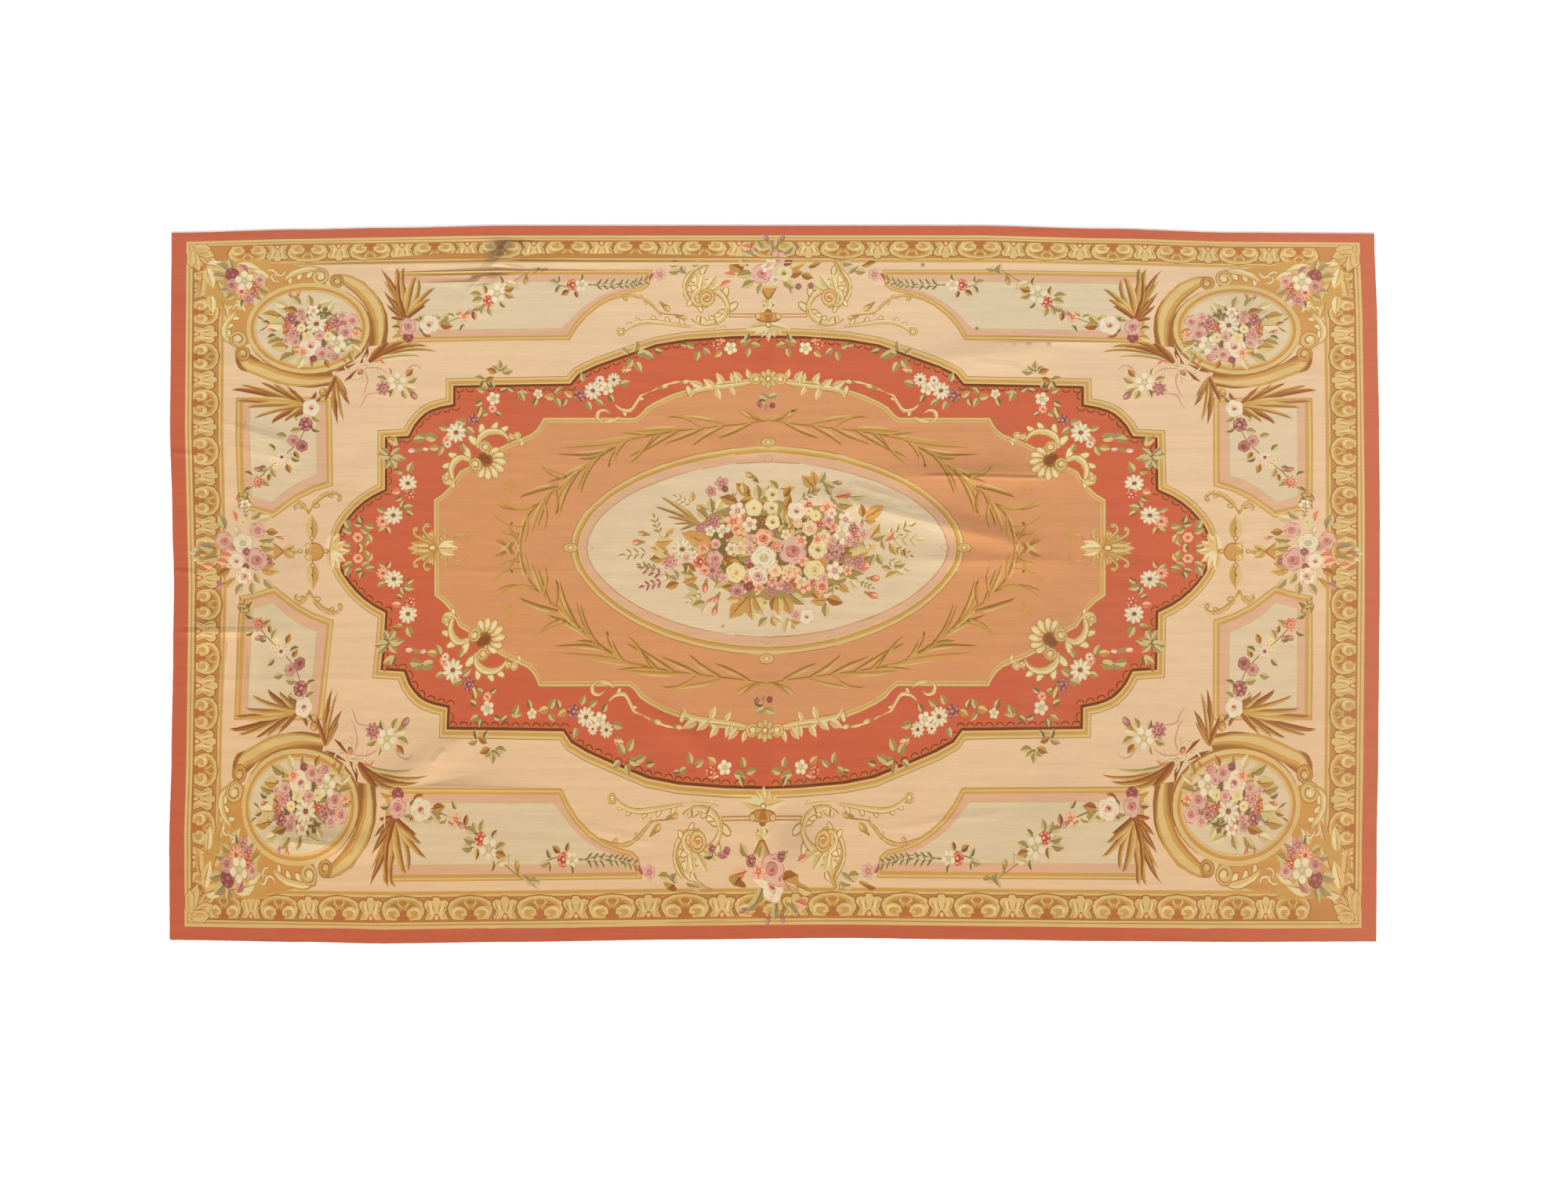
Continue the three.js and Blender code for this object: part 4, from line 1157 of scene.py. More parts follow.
centreLeaves = """
leaf 896 690 30 ochreLeaf 200, twig 832 703 36 pale 172, leaf 846 712 20 bark 174,
leaf 852 709 26 straw 203, leaf 848 704 18 gold 215, leaf 836 692 22 gold -8, leaf 846 686 12 pale -60,
bud 812 692 7.5 coral 178, bud 819 681 7 straw 190, twig 842 686 26 straw 250, leaf 848 682 14 gold -40,
twig 886 646 26 pale 205, leaf 882 640 14 gold -88, leaf 902 650 17 pale 195, leaf 908 654 20 leaf -100,
leaf 914 652 18 pale -70, leaf 902 662 20 leaf 220, bud 893 648 6.5 straw 200, leaf 956 632 24 bark 220,
leaf 950 630 16 straw 255, leaf 968 636 19 leaf -100, leaf 974 636 18 leaf -70, bud 957 607 7.5 gold 205,
leaf 968 616 10 leaf 200, leaf 940 641 24 bark 196, leaf 944 640 20 bark -8, leaf 962 640 16 bark 10,
leaf 992 624 16 leaf 225, leaf 996 624 20 gold -8, leaf 1000 634 16 bark -60, leaf 1002 648 18 bark -70,
leaf 1038 622 22 ochreLeaf 225, leaf 1040 620 20 ochreLeaf -100, leaf 1030 628 17 ochreLeaf -12,
leaf 1046 616 16 grey -62, bud 1070 616 6.5 leaf 0, leaf 1050 616 18 leaf 20, leaf 1054 622 14 leaf 50,
leaf 1068 634 22 coral -12, leaf 1086 634 22 pale -3, leaf 1066 642 26 leaf 6, leaf 1060 634 16 grey 40,
twig 1018 640 26 grey -30, leaf 1104 660 17 bark -97, leaf 1108 660 27 ochreLeaf -32,
bud 1103 668 5 coral 90, leaf 1106 664 16 ochreLeaf 4, leaf 1114 686 22 straw -58,
leaf 1116 688 18 leaf -18, twig 1128 690 40 pale -28, twig 1132 690 42 pale -2,
leaf 1134 690 16 coral -50, leaf 1128 690 13 leaf 70, leaf 1138 694 18 straw 55,
twig 1140 698 26 straw 22, leaf 1158 700 12 straw 80, twig 1130 712 30 pale 25, leaf 1146 722 14 leaf -10,
leaf 1146 728 14 pale 20, leaf 1146 730 16 straw 150, leaf 1140 726 13 leaf 190,
leaf 1118 708 16 leaf 110, leaf 1122 708 16 leaf 60, leaf 1112 710 14 bark 130,
leaf 1084 702 26 straw -30, leaf 1084 706 30 leaf -8, leaf 1088 712 26 gold -20,
leaf 1086 700 22 leaf -50, cluster 1115 698 6 yellow, leaf 1082 726 22 leaf 40, leaf 1084 724 24 leaf 20,
leaf 1096 724 18 coral 0, bud 1118 738 8 coral 0, bud 1116 759 8.5 coral 20, twig 1096 742 20 leaf 20,
leaf 1070 742 15 leaf -20, leaf 1072 746 18 ochreLeaf 35, leaf 1088 742 14 pale 40,
sprig 1064 746 13 leaf 90, leaf 1056 766 22 ochreLeaf 175, leaf 1056 764 23 bark 12,
leaf 1054 770 18 leaf 88, leaf 1036 758 16 bark 10, leaf 1008 758 24 leaf 35,
leaf 1000 762 26 ochreLeaf 65, leaf 992 762 24 gold 85, leaf 988 762 18 bark 100, leaf 962 766 18 grey 10,
leaf 952 764 34 ochreLeaf 130, leaf 956 762 30 gold 82, leaf 944 764 18 straw 175,
leaf 962 762 24 straw 60, leaf 986 786 16 pale 30, leaf 984 788 14 straw 60, leaf 978 788 16 leaf 130,
leaf 974 784 14 pale 190, leaf 1004 790 18 straw 45, leaf 1006 790 20 pale 100, leaf 1010 792 14 straw 10,
leaf 888 737 20 ochreLeaf 160, leaf 886 728 20 bark 205, leaf 884 734 18 leaf 190,
leaf 876 720 12 leaf 100, leaf 864 738 14 grey 240, leaf 862 740 14 grey 200, leaf 850 740 12 pale 250,
leaf 864 744 18 bark 160, leaf 892 758 22 pale 165, leaf 890 752 18 leaf 200, twig 900 756 24 pale 150,
leaf 898 768 17 leaf 160, leaf 900 770 14 pale 110, leaf 930 740 22 leaf 155, leaf 932 746 24 pale 165,
leaf 934 748 14 bark 170, twig 850 734 32 mauve 195, twig 850 740 30 mauve 165, twig 842 726 26 grey 190,
leaf 930 656 20 leaf 150, leaf 1010 674 22 leaf 120, leaf 1006 670 22 straw 80, leaf 1020 690 22 leaf 160,
leaf 1000 690 22 leaf 200, leaf 1040 716 20 leaf 170, leaf 940 712 22 leaf -10, leaf 926 724 18 bark -80,
leaf 928 716 20 bark 20, leaf 1024 722 14 bark 60"""

centreFlowers = """
bud 899 748 8 coral 100, bud 914 763 7 coral 120, bud 905 766 5 coral 140, bud 912 778 7.5 coral 110,
bloom 920 617 9.5 mauve, cluster 924 624 5 plum, bloom 906 627 7.5 mauve, bud 936 630 6 blush -60,
open 985 631 10 cream, open 984 648 9 cream, open 961 648 11 yellow, open 985 666 10 cream,
bloom 940 652 11 blush, open 1016 652 12.5 blush, daisy 1041 658 8 yellow, daisy 1032 652 6.5 yellow,
cluster 1032 644 5 coral, bloom 1056 648 10 coral, rose 1058 664 9 pink, bloom 1081 663 11 blush,
cluster 1045 670 6 coral, rose 1033 674 10 peach, bloom 1076 682 13 white, bloom 1051 685 9.5 peach,
cluster 1092 676 7 pink, cluster 1094 683 5 coral, bloom 1104 682 8.5 pink, carnation 909 667 10 mauve,
carnation 893 674 9 mauve, bloom 935 666 11.5 coral, rose 939 675 8 coral, bloom 956 669 10 blush,
cluster 971 665 6 bark, bloom 922 678 9.5 white, bloom 905 678 7 white, cluster 926 684 4.5 plum,
bloom 944 685 10 coral, rose 973 686 12 coral, bloom 957 688 7 pink, leaf 906 697 36 ochreLeaf 204,
leaf 906 700 26 gold 188, leaf 926 692 34 leaf 12, leaf 926 696 20 gold 50, rose 912 694 7 pink,
daisy 869 701 14 white, carnation 853 717 11 pink, cluster 892 717 9 coral, rose 911 713 11 pink,
cluster 927 713 5 bark, daisy 908 728 12 mauve, rose 938 731 13 yellow, cluster 957 722 5.5 plum,
open 974 712 17 white, rose 966 735 14 blush, rose 988 728 9 peach, rose 1011 702 19 pink,
open 1044 701 13 cream, bloom 1063 698 7 mauve, bloom 1074 700 7 mauve, bloom 1056 711 6.5 mauve,
bloom 1067 711 7 mauve, bloom 1076 713 5.5 plum, bloom 1085 717 5.5 mauve, carnation 1098 717 10 mauve,
rose 1039 728 13.5 yellow, bloom 1066 728 12 blush, carnation 1008 732 14 peach, rose 940 754 10 mauve,
cluster 955 748 7 plum, bloom 968 750 7 coral, carnation 984 752 9 mauve, bloom 995 747 7 pink,
carnation 1006 750 9 mauve, cluster 1038 744 6 pink, cluster 1012 743 6 coral, bloom 1026 748 10 coral,
rose 1049 748 10 coral, open 1030 787 10 blush, bloom 1016 785 7.5 pink,
bloom 1022 690 8 coral, bloom 1002 682 7 peach, carnation 1018 668 7 peach, bloom 1043 688 7 coral,
bloom 1062 655 7 blush, bloom 1086 690 8 pink, bloom 1064 672 7 coral, bloom 932 700 8 blush,
bloom 944 700 9 peach, carnation 990 698 8 coral, bloom 952 738 6 coral, bloom 922 738 7 pink,
bloom 985 742 7 coral, bloom 1022 742 8 peach, bloom 1024 716 7 coral, bloom 1052 738 7 pink,
bloom 1084 728 7 coral, bloom 896 700 7 coral, bloom 884 708 6 blush, rose 898 728 7 coral,
bloom 874 712 6 pink, bloom 1064 690 6 pink, bloom 1094 694 6 mauve, bloom 956 700 7 pink"""

palettes["peach"] = ("cream", "coralPale", "coral")


def drawCentre():
    pen = Pen(one).at(7.5, 0)
    # the shade between the flowers
    pen.fill("leaf", [(880, 696), (890, 672), (905, 656), (930, 646), (950, 640), (976, 634), (1000, 640),
        (1030, 646), (1060, 644), (1084, 656), (1100, 676), (1108, 700), (1100, 722), (1080, 740),
        (1060, 756), (1040, 762), (1010, 764), (980, 766), (950, 764), (930, 756), (912, 744), (896, 730),
        (884, 716)])
    pen.fill("leafDark", [(905, 690), (915, 670), (950, 660), (990, 656), (1040, 664), (1070, 680),
        (1086, 700), (1070, 722), (1040, 744), (1000, 752), (960, 750), (930, 738), (912, 716)])
    frond(pen, 891, 668, [(842, 635, 866, 644, 4.6, "straw"), (834, 647, 862, 652, 3.8, "leaf"),
        (850, 660, 872, 661, 3.6, "straw"), (858, 669, 874, 667, 2.4, "leaf"),
        (866, 677, 878, 671, 2.8, "leaf")])
    plant(pen, centreLeaves)
    thicket(pen, 1000, 700, 106, 54, 56, ("leaf", "straw", "gold", "leaf", "bark", "coral", "peach"), 11)
    thicket(pen, 1000, 700, 70, 40, 34,
        ("mauve", "bark", "straw", "coral", "leaf", "mauve", "ochreLeaf"), 12)
    plant(pen, centreFlowers)


def drawOrnament():
    drawMedallions()
    drawFronds()
    drawGarlands()
    cartoon["raised"] = 1.0
    drawLaurel()
    drawScrollwork()
    drawShell(Pen(every))
    plant(Pen(every), ringRows)
    cartoon["raised"] = 0.0
    drawUrns()
    drawSideUrns()
    plant(Pen(one), topBouquet)
    plant(Pen(((1, -1),)), bottomBouquet)
    plant(Pen(sides), sideBouquet)
    drawCentre()
for drawing, raised in ((drawBands, 0.0), (drawPanels, 0.0), (drawCartouche, 0.4), (drawInnerField, 1.0),
        (drawOval, 1.0)):
    cartoon["raised"] = raised
    drawing()
cartoon["raised"] = 0.0
# the back shows the plain grounds alone, without border or flowers
backShapes = [shape for shape in shapes if len(shape[1]) > 14]
drawBorder()
drawOrnament()
print("design drawn:", len(shapes), "shapes", flush=True)

# The cloth: it lies flat but for its folds, and its edge strip curls up by a millimetre
sheet = {"flatX": 1430.0, "flatY": 806.0, "curl": 1.0, "rimStep": 11.0, "grid": 84.0, "foldGrid": 13.0,
         "gridX": 1510, "gridY": 890, "foldedX": 1480, "foldedY": 880, "surelyInX": 1500, "surelyInY": 880,
         "ragged": 0.5, "slack": 1.1, "merge": 0.9, "foldStart": 0.12, "foldRun": 0.76, "tint": 0.02,
         "wallTurn": 0.8}

# fromX, fromY, toX, toY, half of the width, height
folds = [(90, 232, 400, 166, 44, 10), (340, 182, 660, 96, 48, 12), (330, 280, 720, 282, 40, 8),
         (330, 66, 760, 58, 42, 5), (-1530, -118, -1250, -122, 44, 6), (-770, 720, -640, 880, 62, 9),
         (-1270, -648, -1030, -672, 52, 10), (-18, 640, -16, 330, 52, 4), (-16, -260, -20, -640, 52, 5),
         (380, 560, 690, 610, 60, 6), (-1040, -560, -790, -390, 60, 7), (-330, -300, -150, -450, 54, 6),
         (-1380, 420, -1240, 330, 50, 5)]


def liftAt(x, y):
    lift = 0.0
    for fromX, fromY, toX, toY, half, height in folds:
        runX, runY = toX - fromX, toY - fromY
        held = ((x - fromX) * runX + (y - fromY) * runY) / (runX * runX + runY * runY)
        held = min(1.0, max(0.0, held))
        away = math.hypot(x - fromX - held * runX, y - fromY - held * runY)
        if away < half:
            crown = math.cos(math.pi / 2 * away / half) ** 2
            lift = max(lift, height * crown * math.sin(
                math.pi * (sheet["foldStart"] + sheet["foldRun"] * held)))
    stripX = max(0.0, (abs(x) - sheet["flatX"]) / (rugSize["halfX"] - sheet["flatX"]))
    stripY = max(0.0, (abs(y) - sheet["flatY"]) / (rugSize["halfY"] - sheet["flatY"]))
    return max(lift, sheet["curl"] * min(1.0, max(stripX, stripY)))


def rimLoop():
    rng = random.Random(4)
    loop = []
    farX, farY = rugSize["halfX"], rugSize["halfY"]
    corners = [(-farX, farY), (-farX, -farY), (farX, -farY), (farX, farY)]
    for (ax, ay), (bx, by) in zip(corners, corners[1:] + corners[:1]):
        count = int(math.hypot(bx - ax, by - ay) / sheet["rimStep"])
        for i in range(count):
            x, y = ax + (bx - ax) * i / count, ay + (by - ay) * i / count
            shareX, shareY = x / farX, y / farY
            drawnX = edgeAt(shortEdges, 1, shareY) if x < 0 else -edgeAt(shortEdges, 2, shareY)
            drawnY = edgeAt(longEdges, 2, shareX) if y < 0 else -edgeAt(longEdges, 1, shareX)
            inward = rng.uniform(0, sheet["ragged"])
            loop.append((x + (drawnX - math.copysign(inward, x)) * abs(shareX),
                         y + (drawnY - math.copysign(inward, y)) * abs(shareY)))
    return loop


def gridPoints(step, near=False):
    # loose points inside the cloth, or only those near a fold
    rng = random.Random(9)
    points = []
    for j in range(int(2 * sheet["gridY"] / step)):
        for i in range(int(2 * sheet["gridX"] / step)):
            x = -sheet["gridX"] + (i + 0.5 * (j % 2)) * step + rng.uniform(-1, 1)
            y = -sheet["gridY"] + j * step + rng.uniform(-1, 1)
            within = abs(x) < sheet["foldedX"] and abs(y) < sheet["foldedY"]
            if not near or liftAt(x, y) > 0.25 and within:
                points.append((x, y))
    return points


def leftward(outline):
    # the same outline, ending at its leftmost point and run so that its inside is on the left
    last = outline.index(min(outline))
    outline = outline[last + 1:] + outline[:last + 1]
    before, at, after = outline[-2], outline[-1], outline[0]
    turned = (at[0] - before[0]) * (after[1] - at[1]) - (at[1] - before[1]) * (after[0] - at[0])
    return outline if turned >= 0 else outline[-2::-1] + outline[-1:]


def isWithin(outline, place):
    x, y = place
    within = False
    ax, ay = outline[-1]
    for bx, by in outline:
        if (ay > y) != (by > y) and x < (bx - ax) * (y - ay) / (by - ay) + ax:
            within = not within
        ax, ay = bx, by
    return within


def cut(points, edges, outlines, near=0.02):
    places, _, triangles, startedAs, _, cover = delaunay_2d_cdt(points, edges, outlines, 1, near, True)
    return places, triangles, startedAs, cover


def chains(edges):
    # the lines between the places where more than two edges meet
    beside = {}
    for a, b in edges:
        beside.setdefault(a, []).append(b)
        beside.setdefault(b, []).append(a)
    walked = set()
    for start in sorted(beside, key=lambda end: len(beside[end]) == 2):
        for onward in beside[start]:
            if (start, onward) in walked:
                continue
            chain = [start]
            while True:
                walked.update(((chain[-1], onward), (onward, chain[-1])))
                chain.append(onward)
                after = [end for end in beside[onward] if (onward, end) not in walked]
                if len(beside[onward]) != 2 or not after:
                    break
                onward = after[0]
            yield chain


def straightened(chain, places, slack):
    # the same line without the points that lie nearly on it
    kept = {0, len(chain) - 1}
    spans = [(0, len(chain) - 1)]
    while spans:
        low, high = spans.pop()
        a, b = places[chain[low]], places[chain[high]]
        run = (b - a).length
        worst, at = slack, None
        for i in range(low + 1, high):
            off = places[chain[i]] - a
            away = abs(off.x * (b.y - a.y) - off.y * (b.x - a.x)) / run if run > slack else off.length
            if away > worst:
                worst, at = away, i
        if at:
            kept.add(at)
            spans += [(low, at), (at, high)]
    return [chain[i] for i in sorted(kept)]


def triangulated(loop, painted, loose):
    # triangles inside the loop, each with the number of the last painted shape that covers it
    points = [Vector(p) for p in loop]
    outlines = [list(range(len(loop)))]
    for dye, outline, tint in painted:
        first = len(points)
        points += [Vector(p) for p in leftward(outline)]
        outlines.append(list(range(first, len(points))))
    places, triangles, _, cover = cut(points, [], outlines)
    seen = []
    for corners, over in zip(triangles, cover):
        middle = (places[corners[0]] + places[corners[1]] + places[corners[2]]) / 3
        above = (n - 1 for n in sorted(over, reverse=True) if n and isWithin(painted[n - 1][1], middle))
        seen.append(next(above, -1))
    looks = [(painted[n][0], painted[n][2]) if n >= 0 else None for n in seen]
    # only the lines where the colour changes are kept, and the cloth is cut again along them
    beside = {}
    for number, corners in enumerate(triangles):
        for a, b in zip(corners, corners[1:] + corners[:1]):
            beside.setdefault((min(a, b), max(a, b)), []).append(number)
    kept = [edge for edge, pair in beside.items() if len(pair) == 2 and looks[pair[0]] != looks[pair[1]]]
    points, numbers, edges = [Vector(p) for p in loop], {}, []
    for chain in chains(kept):
        chain = straightened(chain, places, sheet["slack"])
        for edge in zip(chain, chain[1:]):
            for end in edge:
                if end not in numbers:
                    numbers[end] = len(points)
                    points.append(places[end])
            edges.append((numbers[edge[0]], numbers[edge[1]]))
    print("lines:", len(kept), "edges, straightened to", len(edges), flush=True)
    points += [Vector(p) for p in loose]
    finder = BVHTree.FromPolygons([(p.x, p.y, 0) for p in places], triangles)
    newPlaces, newTriangles, startedAs, cover = cut(points, edges, [list(range(len(loop)))], sheet["merge"])
    shown, colours = [], []
    for corners in newTriangles:
        middle = (newPlaces[corners[0]] + newPlaces[corners[1]] + newPlaces[corners[2]]) / 3
        # the edges draw in, and the cut also fills the hollows outside them
        surely = abs(middle.x) < sheet["surelyInX"] and abs(middle.y) < sheet["surelyInY"]
        if surely or isWithin(loop, middle):
            shown.append(corners)
            colours.append(seen[finder.find_nearest((middle.x, middle.y, 0))[2]])
    lookup = {}
    for index, sources in enumerate(startedAs):
        for source in sources:
            if source < len(loop):
                lookup[source] = index
    return newPlaces, shown, colours, [lookup[i] for i in range(len(loop))]


def linear(code):
    parts = [int(code[i:i + 2], 16) / 255 for i in (0, 2, 4)]
    return [p / 12.92 if p <= 0.04045 else ((p + 0.055) / 1.055) ** 2.4 for p in parts]


# the layout that the colours are baked to: the top, then the back, then the wall round the edge
baked = {"left": 1.545, "wide": 3.09, "low": 0.917, "tall": 1.834, "top": 0.002, "topShare": 0.848,
         "back": 0.86, "backShare": 0.12, "wall": 0.985, "wallShare": 0.012, "wallFrom": 0.002}


def bakedAt(place, kind):
    u, v = (place.x + baked["left"]) / baked["wide"], (place.y + baked["low"]) / baked["tall"]
    if kind == 0:
        return (u, baked["top"] + baked["topShare"] * v)
    if kind == 1:
        return (u, baked["back"] + baked["backShare"] * v)
    upper = baked["wallShare"] if place.z > baked["wallFrom"] else 0.0
    return (u * 0.99 + v * 0.01, baked["wall"] + upper)


def makeRug():
    loop = rimLoop()
    loose = gridPoints(sheet["grid"]) + gridPoints(sheet["foldGrid"], True)
    top = triangulated(loop, shapes, loose)
    loose = gridPoints(sheet["grid"]) + gridPoints(2 * sheet["foldGrid"], True)
    back = triangulated(loop, backShapes, loose)
    print("triangles:", len(top[1]), "above and", len(back[1]), "below", flush=True)
    dyed = {name: linear(code) for name, code in dyes.items()}
    mesh = bmesh.new()
    rims, faceColours, faceSides = [], [], []
    for (places, triangles, colours, rim), painted, thickness in (
            (top, shapes, rugSize["thickness"]), (back, backShapes, 0.0)):
        verts = [mesh.verts.new((p.x / 1000, p.y / 1000, (liftAt(p.x, p.y) + thickness) / 1000))
                 for p in places]
        rims.append([verts[i] for i in rim])
        for triangle, number in zip(triangles, colours):
            if not thickness:
                triangle = triangle[::-1]
            mesh.faces.new([verts[i] for i in triangle])
            name = painted[number][0] if number >= 0 else "redBand"
            tint = 1 + sheet["tint"] * painted[number][2] if number >= 0 else 1.0
            faceColours.append([c * tint for c in dyed[name]] + [1.0])
            faceSides.append(0 if thickness else 1)
    upper, lower = rims
    for i in range(len(upper)):
        j = (i + 1) % len(upper)
        mesh.faces.new((lower[i], lower[j], upper[j], upper[i]))
        faceColours.append(dyed["redBand"] + [1.0])
        faceSides.append(2)
    bmesh.ops.recalc_face_normals(mesh, faces=mesh.faces[:])
    mesh.normal_update()
    data = bpy.data.meshes.new("rugSheet")
    for face, kind in zip(mesh.faces, faceSides):
        face.smooth = True
        if kind == 2:
            for edge in face.edges:
                if edge.calc_face_angle(0) > sheet["wallTurn"]:
                    edge.smooth = False
    mesh.to_mesh(data)
    mesh.free()
    corners, uvs = [], []
    layer = data.uv_layers.new(name="OFBake")
    for polygon, colour, kind in zip(data.polygons, faceColours, faceSides):
        for corner in polygon.loop_indices:
            place = data.vertices[data.loops[corner].vertex_index].co
            uvs += bakedAt(place, kind)
            corners += colour
    layer.data.foreach_set("uv", uvs)
    dye = data.color_attributes.new("dye", "FLOAT_COLOR", "CORNER")
    dye.data.foreach_set("color", corners)
    piece = bpy.data.objects.new("rugSheet", data)
    bpy.context.scene.collection.objects.link(piece)
    return piece


rugPiece = makeRug()
print("cloth made:", len(rugPiece.data.polygons), "faces", flush=True)


class Wire:
    # one output of a shader node, so that shader sums read as sums
    def __init__(self, tree, socket):
        self.tree, self.socket = tree, socket

    def make(self, kind, settings=None, inputs=None, output=0):
        node = self.tree.nodes.new("ShaderNode" + kind)
        for name, value in (settings or {}).items():
            setattr(node, name, value)
        for name, value in (inputs or {}).items():
            if isinstance(value, Wire):
                self.tree.links.new(value.socket, node.inputs[name])
            else:
                node.inputs[name].default_value = value
        return Wire(self.tree, node.outputs[output])

    def sums(self, operation, first, second=0.0):
        return self.make("Math", {"operation": operation}, {0: first, 1: second})

    def __add__(self, other):
        return self.sums("ADD", self, other)

    def __radd__(self, other):
        return self.sums("ADD", other, self)

    def __sub__(self, other):
        return self.sums("SUBTRACT", self, other)

    def __rsub__(self, other):
        return self.sums("SUBTRACT", other, self)

    def __mul__(self, other):
        return self.sums("MULTIPLY", self, other)

    def __rmul__(self, other):
        return self.sums("MULTIPLY", other, self)

    def __truediv__(self, other):
        return self.sums("DIVIDE", self, other)

    def __rtruediv__(self, other):
        return self.sums("DIVIDE", other, self)

    def scaled(self, factor):
        return self.make("VectorMath", {"operation": "SCALE"}, {0: self, "Scale": factor})

    def held(self, low, high):
        return self.make("MapRange", {}, {"Value": self, "From Min": low, "From Max": high})

    def vector(self, operation, other, output=0):
        return self.make("VectorMath", {"operation": operation}, {0: self, 1: other}, output)

    def size(self):
        return self.sums("ABSOLUTE", self)

    def mixed(self, colour, share, blend="MIX"):
        return self.make("Mix", {"data_type": "RGBA", "blend_type": blend},
                         {0: share, 6: self, 7: colour}, 2)

    def noise(self, scale, detail=2.0, rough=0.5):
        return self.make("TexNoise", {}, {
            "Vector": self, "Scale": scale, "Detail": detail, "Roughness": rough})


# The weave: shares of the dye that streaks, threads, patches and specks change, the shares of soil and of
# the painted warm light at the right, the sizes of their patterns, and the heights of the ribs and waves in
# metres
wool = {"streaks": 0.24, "threads": 0.18, "patches": 0.09, "specks": 0.1, "soil": 0.16, "paintedWarmLight": 0.09,
        "streakX": 2.6, "streakY": 62.0, "threadX": 16.0, "threadY": 330.0, "patchSize": 3.4,
        "speckSize": 260.0, "warps": 105.0, "wefts": 300.0, "ribs": 0.00018, "waves": 0.0024,
        "wander": 0.02}
# tones: "low" is a painted shade for the bottom and left, the orange one is painted warm light for the
# right, then soil, and a dark tone for stains and a painted crease shade
tones = {"low": (0.94, 0.86, 0.76, 1.0), "paintedWarmLight": (1.0, 0.52, 0.26, 1.0), "soil": (0.3, 0.23, 0.17, 1.0),
         "stainAndCreaseShade": (0.16, 0.12, 0.09, 1.0)}

# fromX, fromY, toX, toY, half of the width, height: folds too sharp for the mesh, in metres
creases = [
    (0.36, 0.276, 0.714, 0.272, 0.008, 0.003), (0.19, 0.258, 0.35, 0.212, 0.016, 0.002),
    (0.166, 0.214, 0.604, 0.106, 0.017, 0.0026), (0.35, 0.064, 0.764, 0.06, 0.014, 0.0012),
    (-0.006, 0.63, -0.004, 0.3, 0.014, 0.0014), (-0.006, -0.24, -0.004, -0.6, 0.014, 0.0016),
    (-0.86, 0.038, -0.45, 0.034, 0.014, 0.0009), (-1.5, -0.238, -0.98, -0.242, 0.013, 0.001),
    (-0.672, 0.5, -0.668, -0.5, 0.014, 0.001), (-1.532, -0.124, -1.3, -0.12, 0.014, 0.0028),
    (-1.54, 0.336, -1.47, 0.33, 0.012, 0.002), (-1.54, 0.034, -1.46, 0.028, 0.012, 0.002),
    (-0.66, 0.876, -0.79, 0.74, 0.022, 0.004), (-1.25, -0.652, -1.11, -0.668, 0.012, 0.003),
    (-0.876, -0.46, -0.84, -0.42, 0.014, 0.0022), (0.51, 0.57, 0.64, 0.552, 0.014, 0.0014),
    (-1.42, 0.42, -1.24, 0.36, 0.014, 0.0018), (-1.4, 0.36, -1.2, 0.31, 0.016, 0.0016),
    (-1.2, 0.56, -0.9, 0.6, 0.02, 0.0014), (-0.42, 0.62, -0.1, 0.58, 0.02, 0.0014),
    (0.88, 0.66, 0.9, 0.4, 0.018, 0.0014), (0.9, -0.4, 1.02, -0.64, 0.02, 0.0014),
    (-0.5, -0.62, -0.3, -0.66, 0.018, 0.0016), (0.3, -0.62, 0.6, -0.58, 0.018, 0.0014)]

# dark spots, x, y, reach, share: real stains, but the first is a painted shade along the crease at the
# upper left
stainsAndCreaseShade = [(-0.704, 0.856, 0.05, 0.5), (0.378, 0.816, 0.007, 0.8), (0.516, 0.654, 0.007, 0.8),
          (-0.132, -0.106, 0.006, 0.6), (0.05, -0.64, 0.09, 0.2)]


def creased(place):
    # each crease is a ridge along its line, and they add up to one height
    height = 0.0
    for fromX, fromY, toX, toY, half, tall in creases:
        length = math.hypot(toX - fromX, toY - fromY)
        runX, runY = (toX - fromX) / length, (toY - fromY) / length
        away = place.vector("SUBTRACT", ((fromX + toX) / 2, (fromY + toY) / 2, 0.0))
        along = away.vector("DOT_PRODUCT", (2 * runX / length, 2 * runY / length, 0.0), 1).size()
        across = away.vector("DOT_PRODUCT", (-runY / half, runX / half, 0.0), 1).size()
        ridge = across.held(1.0, 0.0) * along.held(1.0, 0.7)
        height = ridge * tall + height
    return height


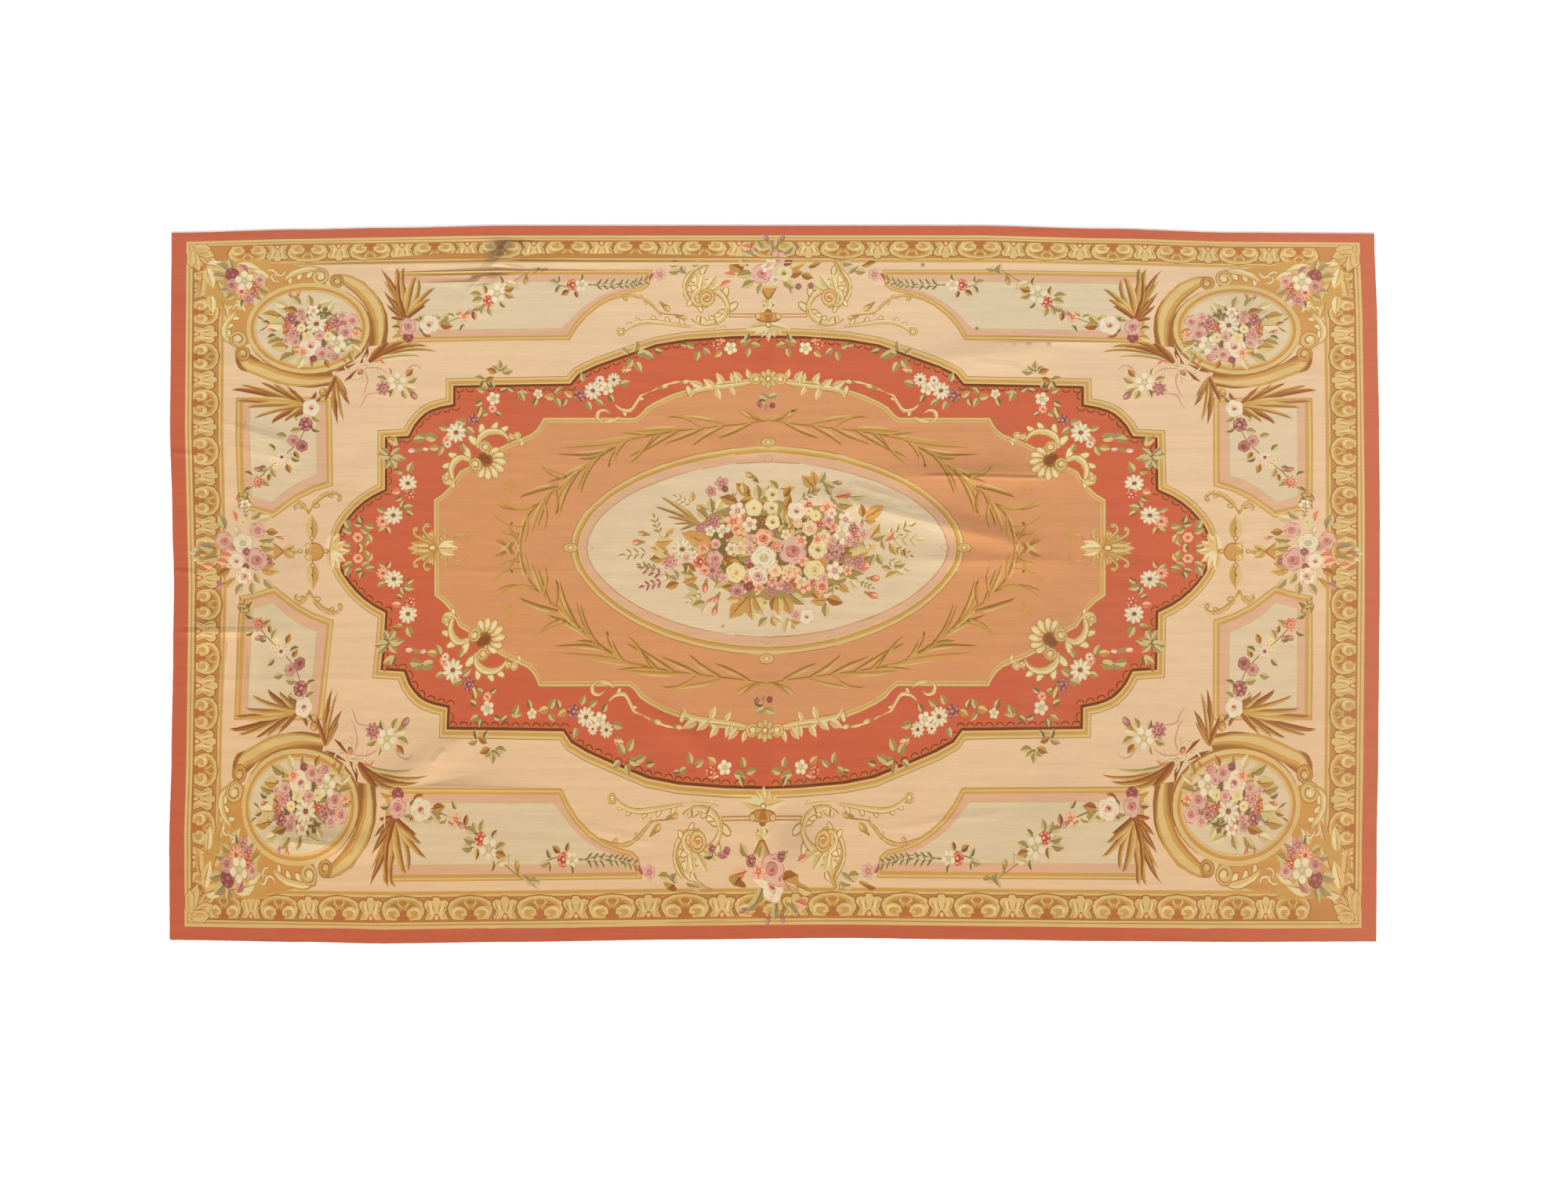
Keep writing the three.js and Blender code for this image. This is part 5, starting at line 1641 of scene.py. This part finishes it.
def woolMaterial():
    material = bpy.data.materials.new("woolWeave")
    material.use_nodes = True
    tree = material.node_tree
    tree.nodes.clear()
    start = Wire(tree, None)
    place = start.make("TexCoord", output=3)
    x = start.make("SeparateXYZ", inputs={0: place})
    y = Wire(tree, x.socket.node.outputs[1])
    colour = start.make("Attribute", {"attribute_name": "dye"})

    streaky = start.make("CombineXYZ", inputs={0: x * wool["streakX"], 1: y * wool["streakY"]})
    fine = start.make("CombineXYZ", inputs={0: x * wool["threadX"], 1: y * wool["threadY"]})
    streak = streaky.noise(1.0, 3.0, 0.6) - 0.5
    thread = fine.noise(1.0, 2.0, 0.5) - 0.5
    patch = place.noise(wool["patchSize"], 3.0, 0.55) - 0.5
    speck = place.noise(wool["speckSize"], 2.0, 0.6) - 0.5
    tone = 1.0 + streak * wool["streaks"] + thread * wool["threads"]
    tone = tone + patch * wool["patches"] + speck * wool["specks"]
    colour = colour.scaled(tone)

    # painted shade: the colour is made warmer and darker towards the bottom and the left; painted warm
    # light makes it more orange at the right
    low = (0.5 - y * 0.5 - x * 0.12 + patch * 0.3).held(0.0, 1.0)
    colour = colour.mixed(tones["low"], low, "MULTIPLY")
    # painted warm light: the right end of the rug is mixed towards orange
    paintedWarmLight = (x - 0.9).held(0.0, 0.64)
    colour = colour.mixed(tones["paintedWarmLight"], paintedWarmLight * wool["paintedWarmLight"])
    soil = place.noise(1.9, 5.0, 0.62).held(0.52, 0.78)
    colour = colour.mixed(tones["soil"], soil * wool["soil"])

    # each spot darkens the colour round it: a painted crease shade at the first, real stains at the others
    for spotX, spotY, reach, share in stainsAndCreaseShade:
        away = place.vector("DISTANCE", (spotX, spotY, 0.003), 1)
        spot = (1.0 - away / reach + patch * 1.2).held(0.0, 0.8)
        colour = colour.mixed(tones["stainAndCreaseShade"], spot * share)

    ribs = start.make("TexWave", {"wave_type": "BANDS", "bands_direction": "X"}, {
        "Vector": place, "Scale": wool["warps"], "Distortion": 0.6, "Detail": 1.0, "Detail Scale": 0.4})
    wefts = start.make("TexWave", {"wave_type": "BANDS", "bands_direction": "Y"}, {
        "Vector": place, "Scale": wool["wefts"], "Distortion": 1.2, "Detail": 1.0, "Detail Scale": 0.5})
    weave = ribs * 0.7 + wefts * 0.3 + speck * 0.4
    cockle = place.noise(11.0, 2.0, 0.45) + streaky.noise(0.35, 1.0, 0.4) * 0.6
    wandering = {0: patch * wool["wander"], 1: patch * wool["wander"]}
    bent = start.make("CombineXYZ", inputs=wandering).vector("ADD", place)
    bump = start.make("Bump", {}, {"Height": creased(bent), "Distance": 1.0, "Strength": 1.0})
    bump = start.make("Bump", {}, {
        "Height": cockle, "Distance": wool["waves"], "Strength": 1.0, "Normal": bump})
    bump = start.make("Bump", {}, {
        "Height": weave, "Distance": wool["ribs"], "Strength": 0.8, "Normal": bump})
    shader = start.make("BsdfPrincipled", {}, {
        "Base Color": colour, "Roughness": 0.9 - patch * 0.12, "Normal": bump,
        "Sheen Weight": 0.22, "Sheen Roughness": 0.45, "Specular IOR Level": 0.18})
    end = tree.nodes.new("ShaderNodeOutputMaterial")
    tree.links.new(shader.socket, end.inputs["Surface"])
    return material


rugPiece.data.materials.append(woolMaterial())
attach(rugPiece, "root")
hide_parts("rug_sheet")
print("wool dyed", flush=True)

stage = {"size": 90.0, "colour": (0.95, 0.95, 0.95, 1.0), "rough": 0.85, "glow": 0.3, "sky": 0.5,
         "window": 2.9, "windowSpread": 0.6, "windowAt": (1.4, -6.2, 4.2), "lens": 85.0, "film": 36.0,
         "cameraAt": (0.024, -0.015, 9.446), "sees": 100}


def makeFloor():
    grid = bmesh.new()
    bmesh.ops.create_grid(grid, x_segments=1, y_segments=1, size=stage["size"])
    data = bpy.data.meshes.new("floor")
    grid.to_mesh(data)
    grid.free()
    floor = bpy.data.objects.new("floor", data)
    material = bpy.data.materials.new("floorPaint")
    material.use_nodes = True
    paint = material.node_tree.nodes["Principled BSDF"]
    paint.inputs["Base Color"].default_value = stage["colour"]
    paint.inputs["Roughness"].default_value = stage["rough"]
    paint.inputs["Emission Color"].default_value = stage["colour"]
    paint.inputs["Emission Strength"].default_value = stage["glow"]
    data.materials.append(material)
    bpy.context.scene.collection.objects.link(floor)
    return floor


floor = makeFloor()

world = bpy.data.worlds.new("studio")
world.use_nodes = True
world.node_tree.nodes["Background"].inputs["Color"].default_value = (1.0, 1.0, 1.0, 1.0)
world.node_tree.nodes["Background"].inputs["Strength"].default_value = stage["sky"]
bpy.context.scene.world = world

lamp = bpy.data.lights.new("window", "SUN")
lamp.energy, lamp.angle = stage["window"], stage["windowSpread"]
window = bpy.data.objects.new("window", lamp)
window.location = stage["windowAt"]
window.rotation_mode = "QUATERNION"
window.rotation_quaternion = (-Vector(window.location)).to_track_quat("-Z", "Y")
bpy.context.scene.collection.objects.link(window)

lens = bpy.data.cameras.new("camera")
lens.lens, lens.sensor_width, lens.clip_end = stage["lens"], stage["film"], stage["sees"]
camera = bpy.data.objects.new("camera", lens)
camera.location = stage["cameraAt"]
camera.rotation_euler = (0, 0, 0)
bpy.context.scene.collection.objects.link(camera)
bpy.context.scene.camera = camera
bpy.context.scene.view_settings.view_transform = "Standard"
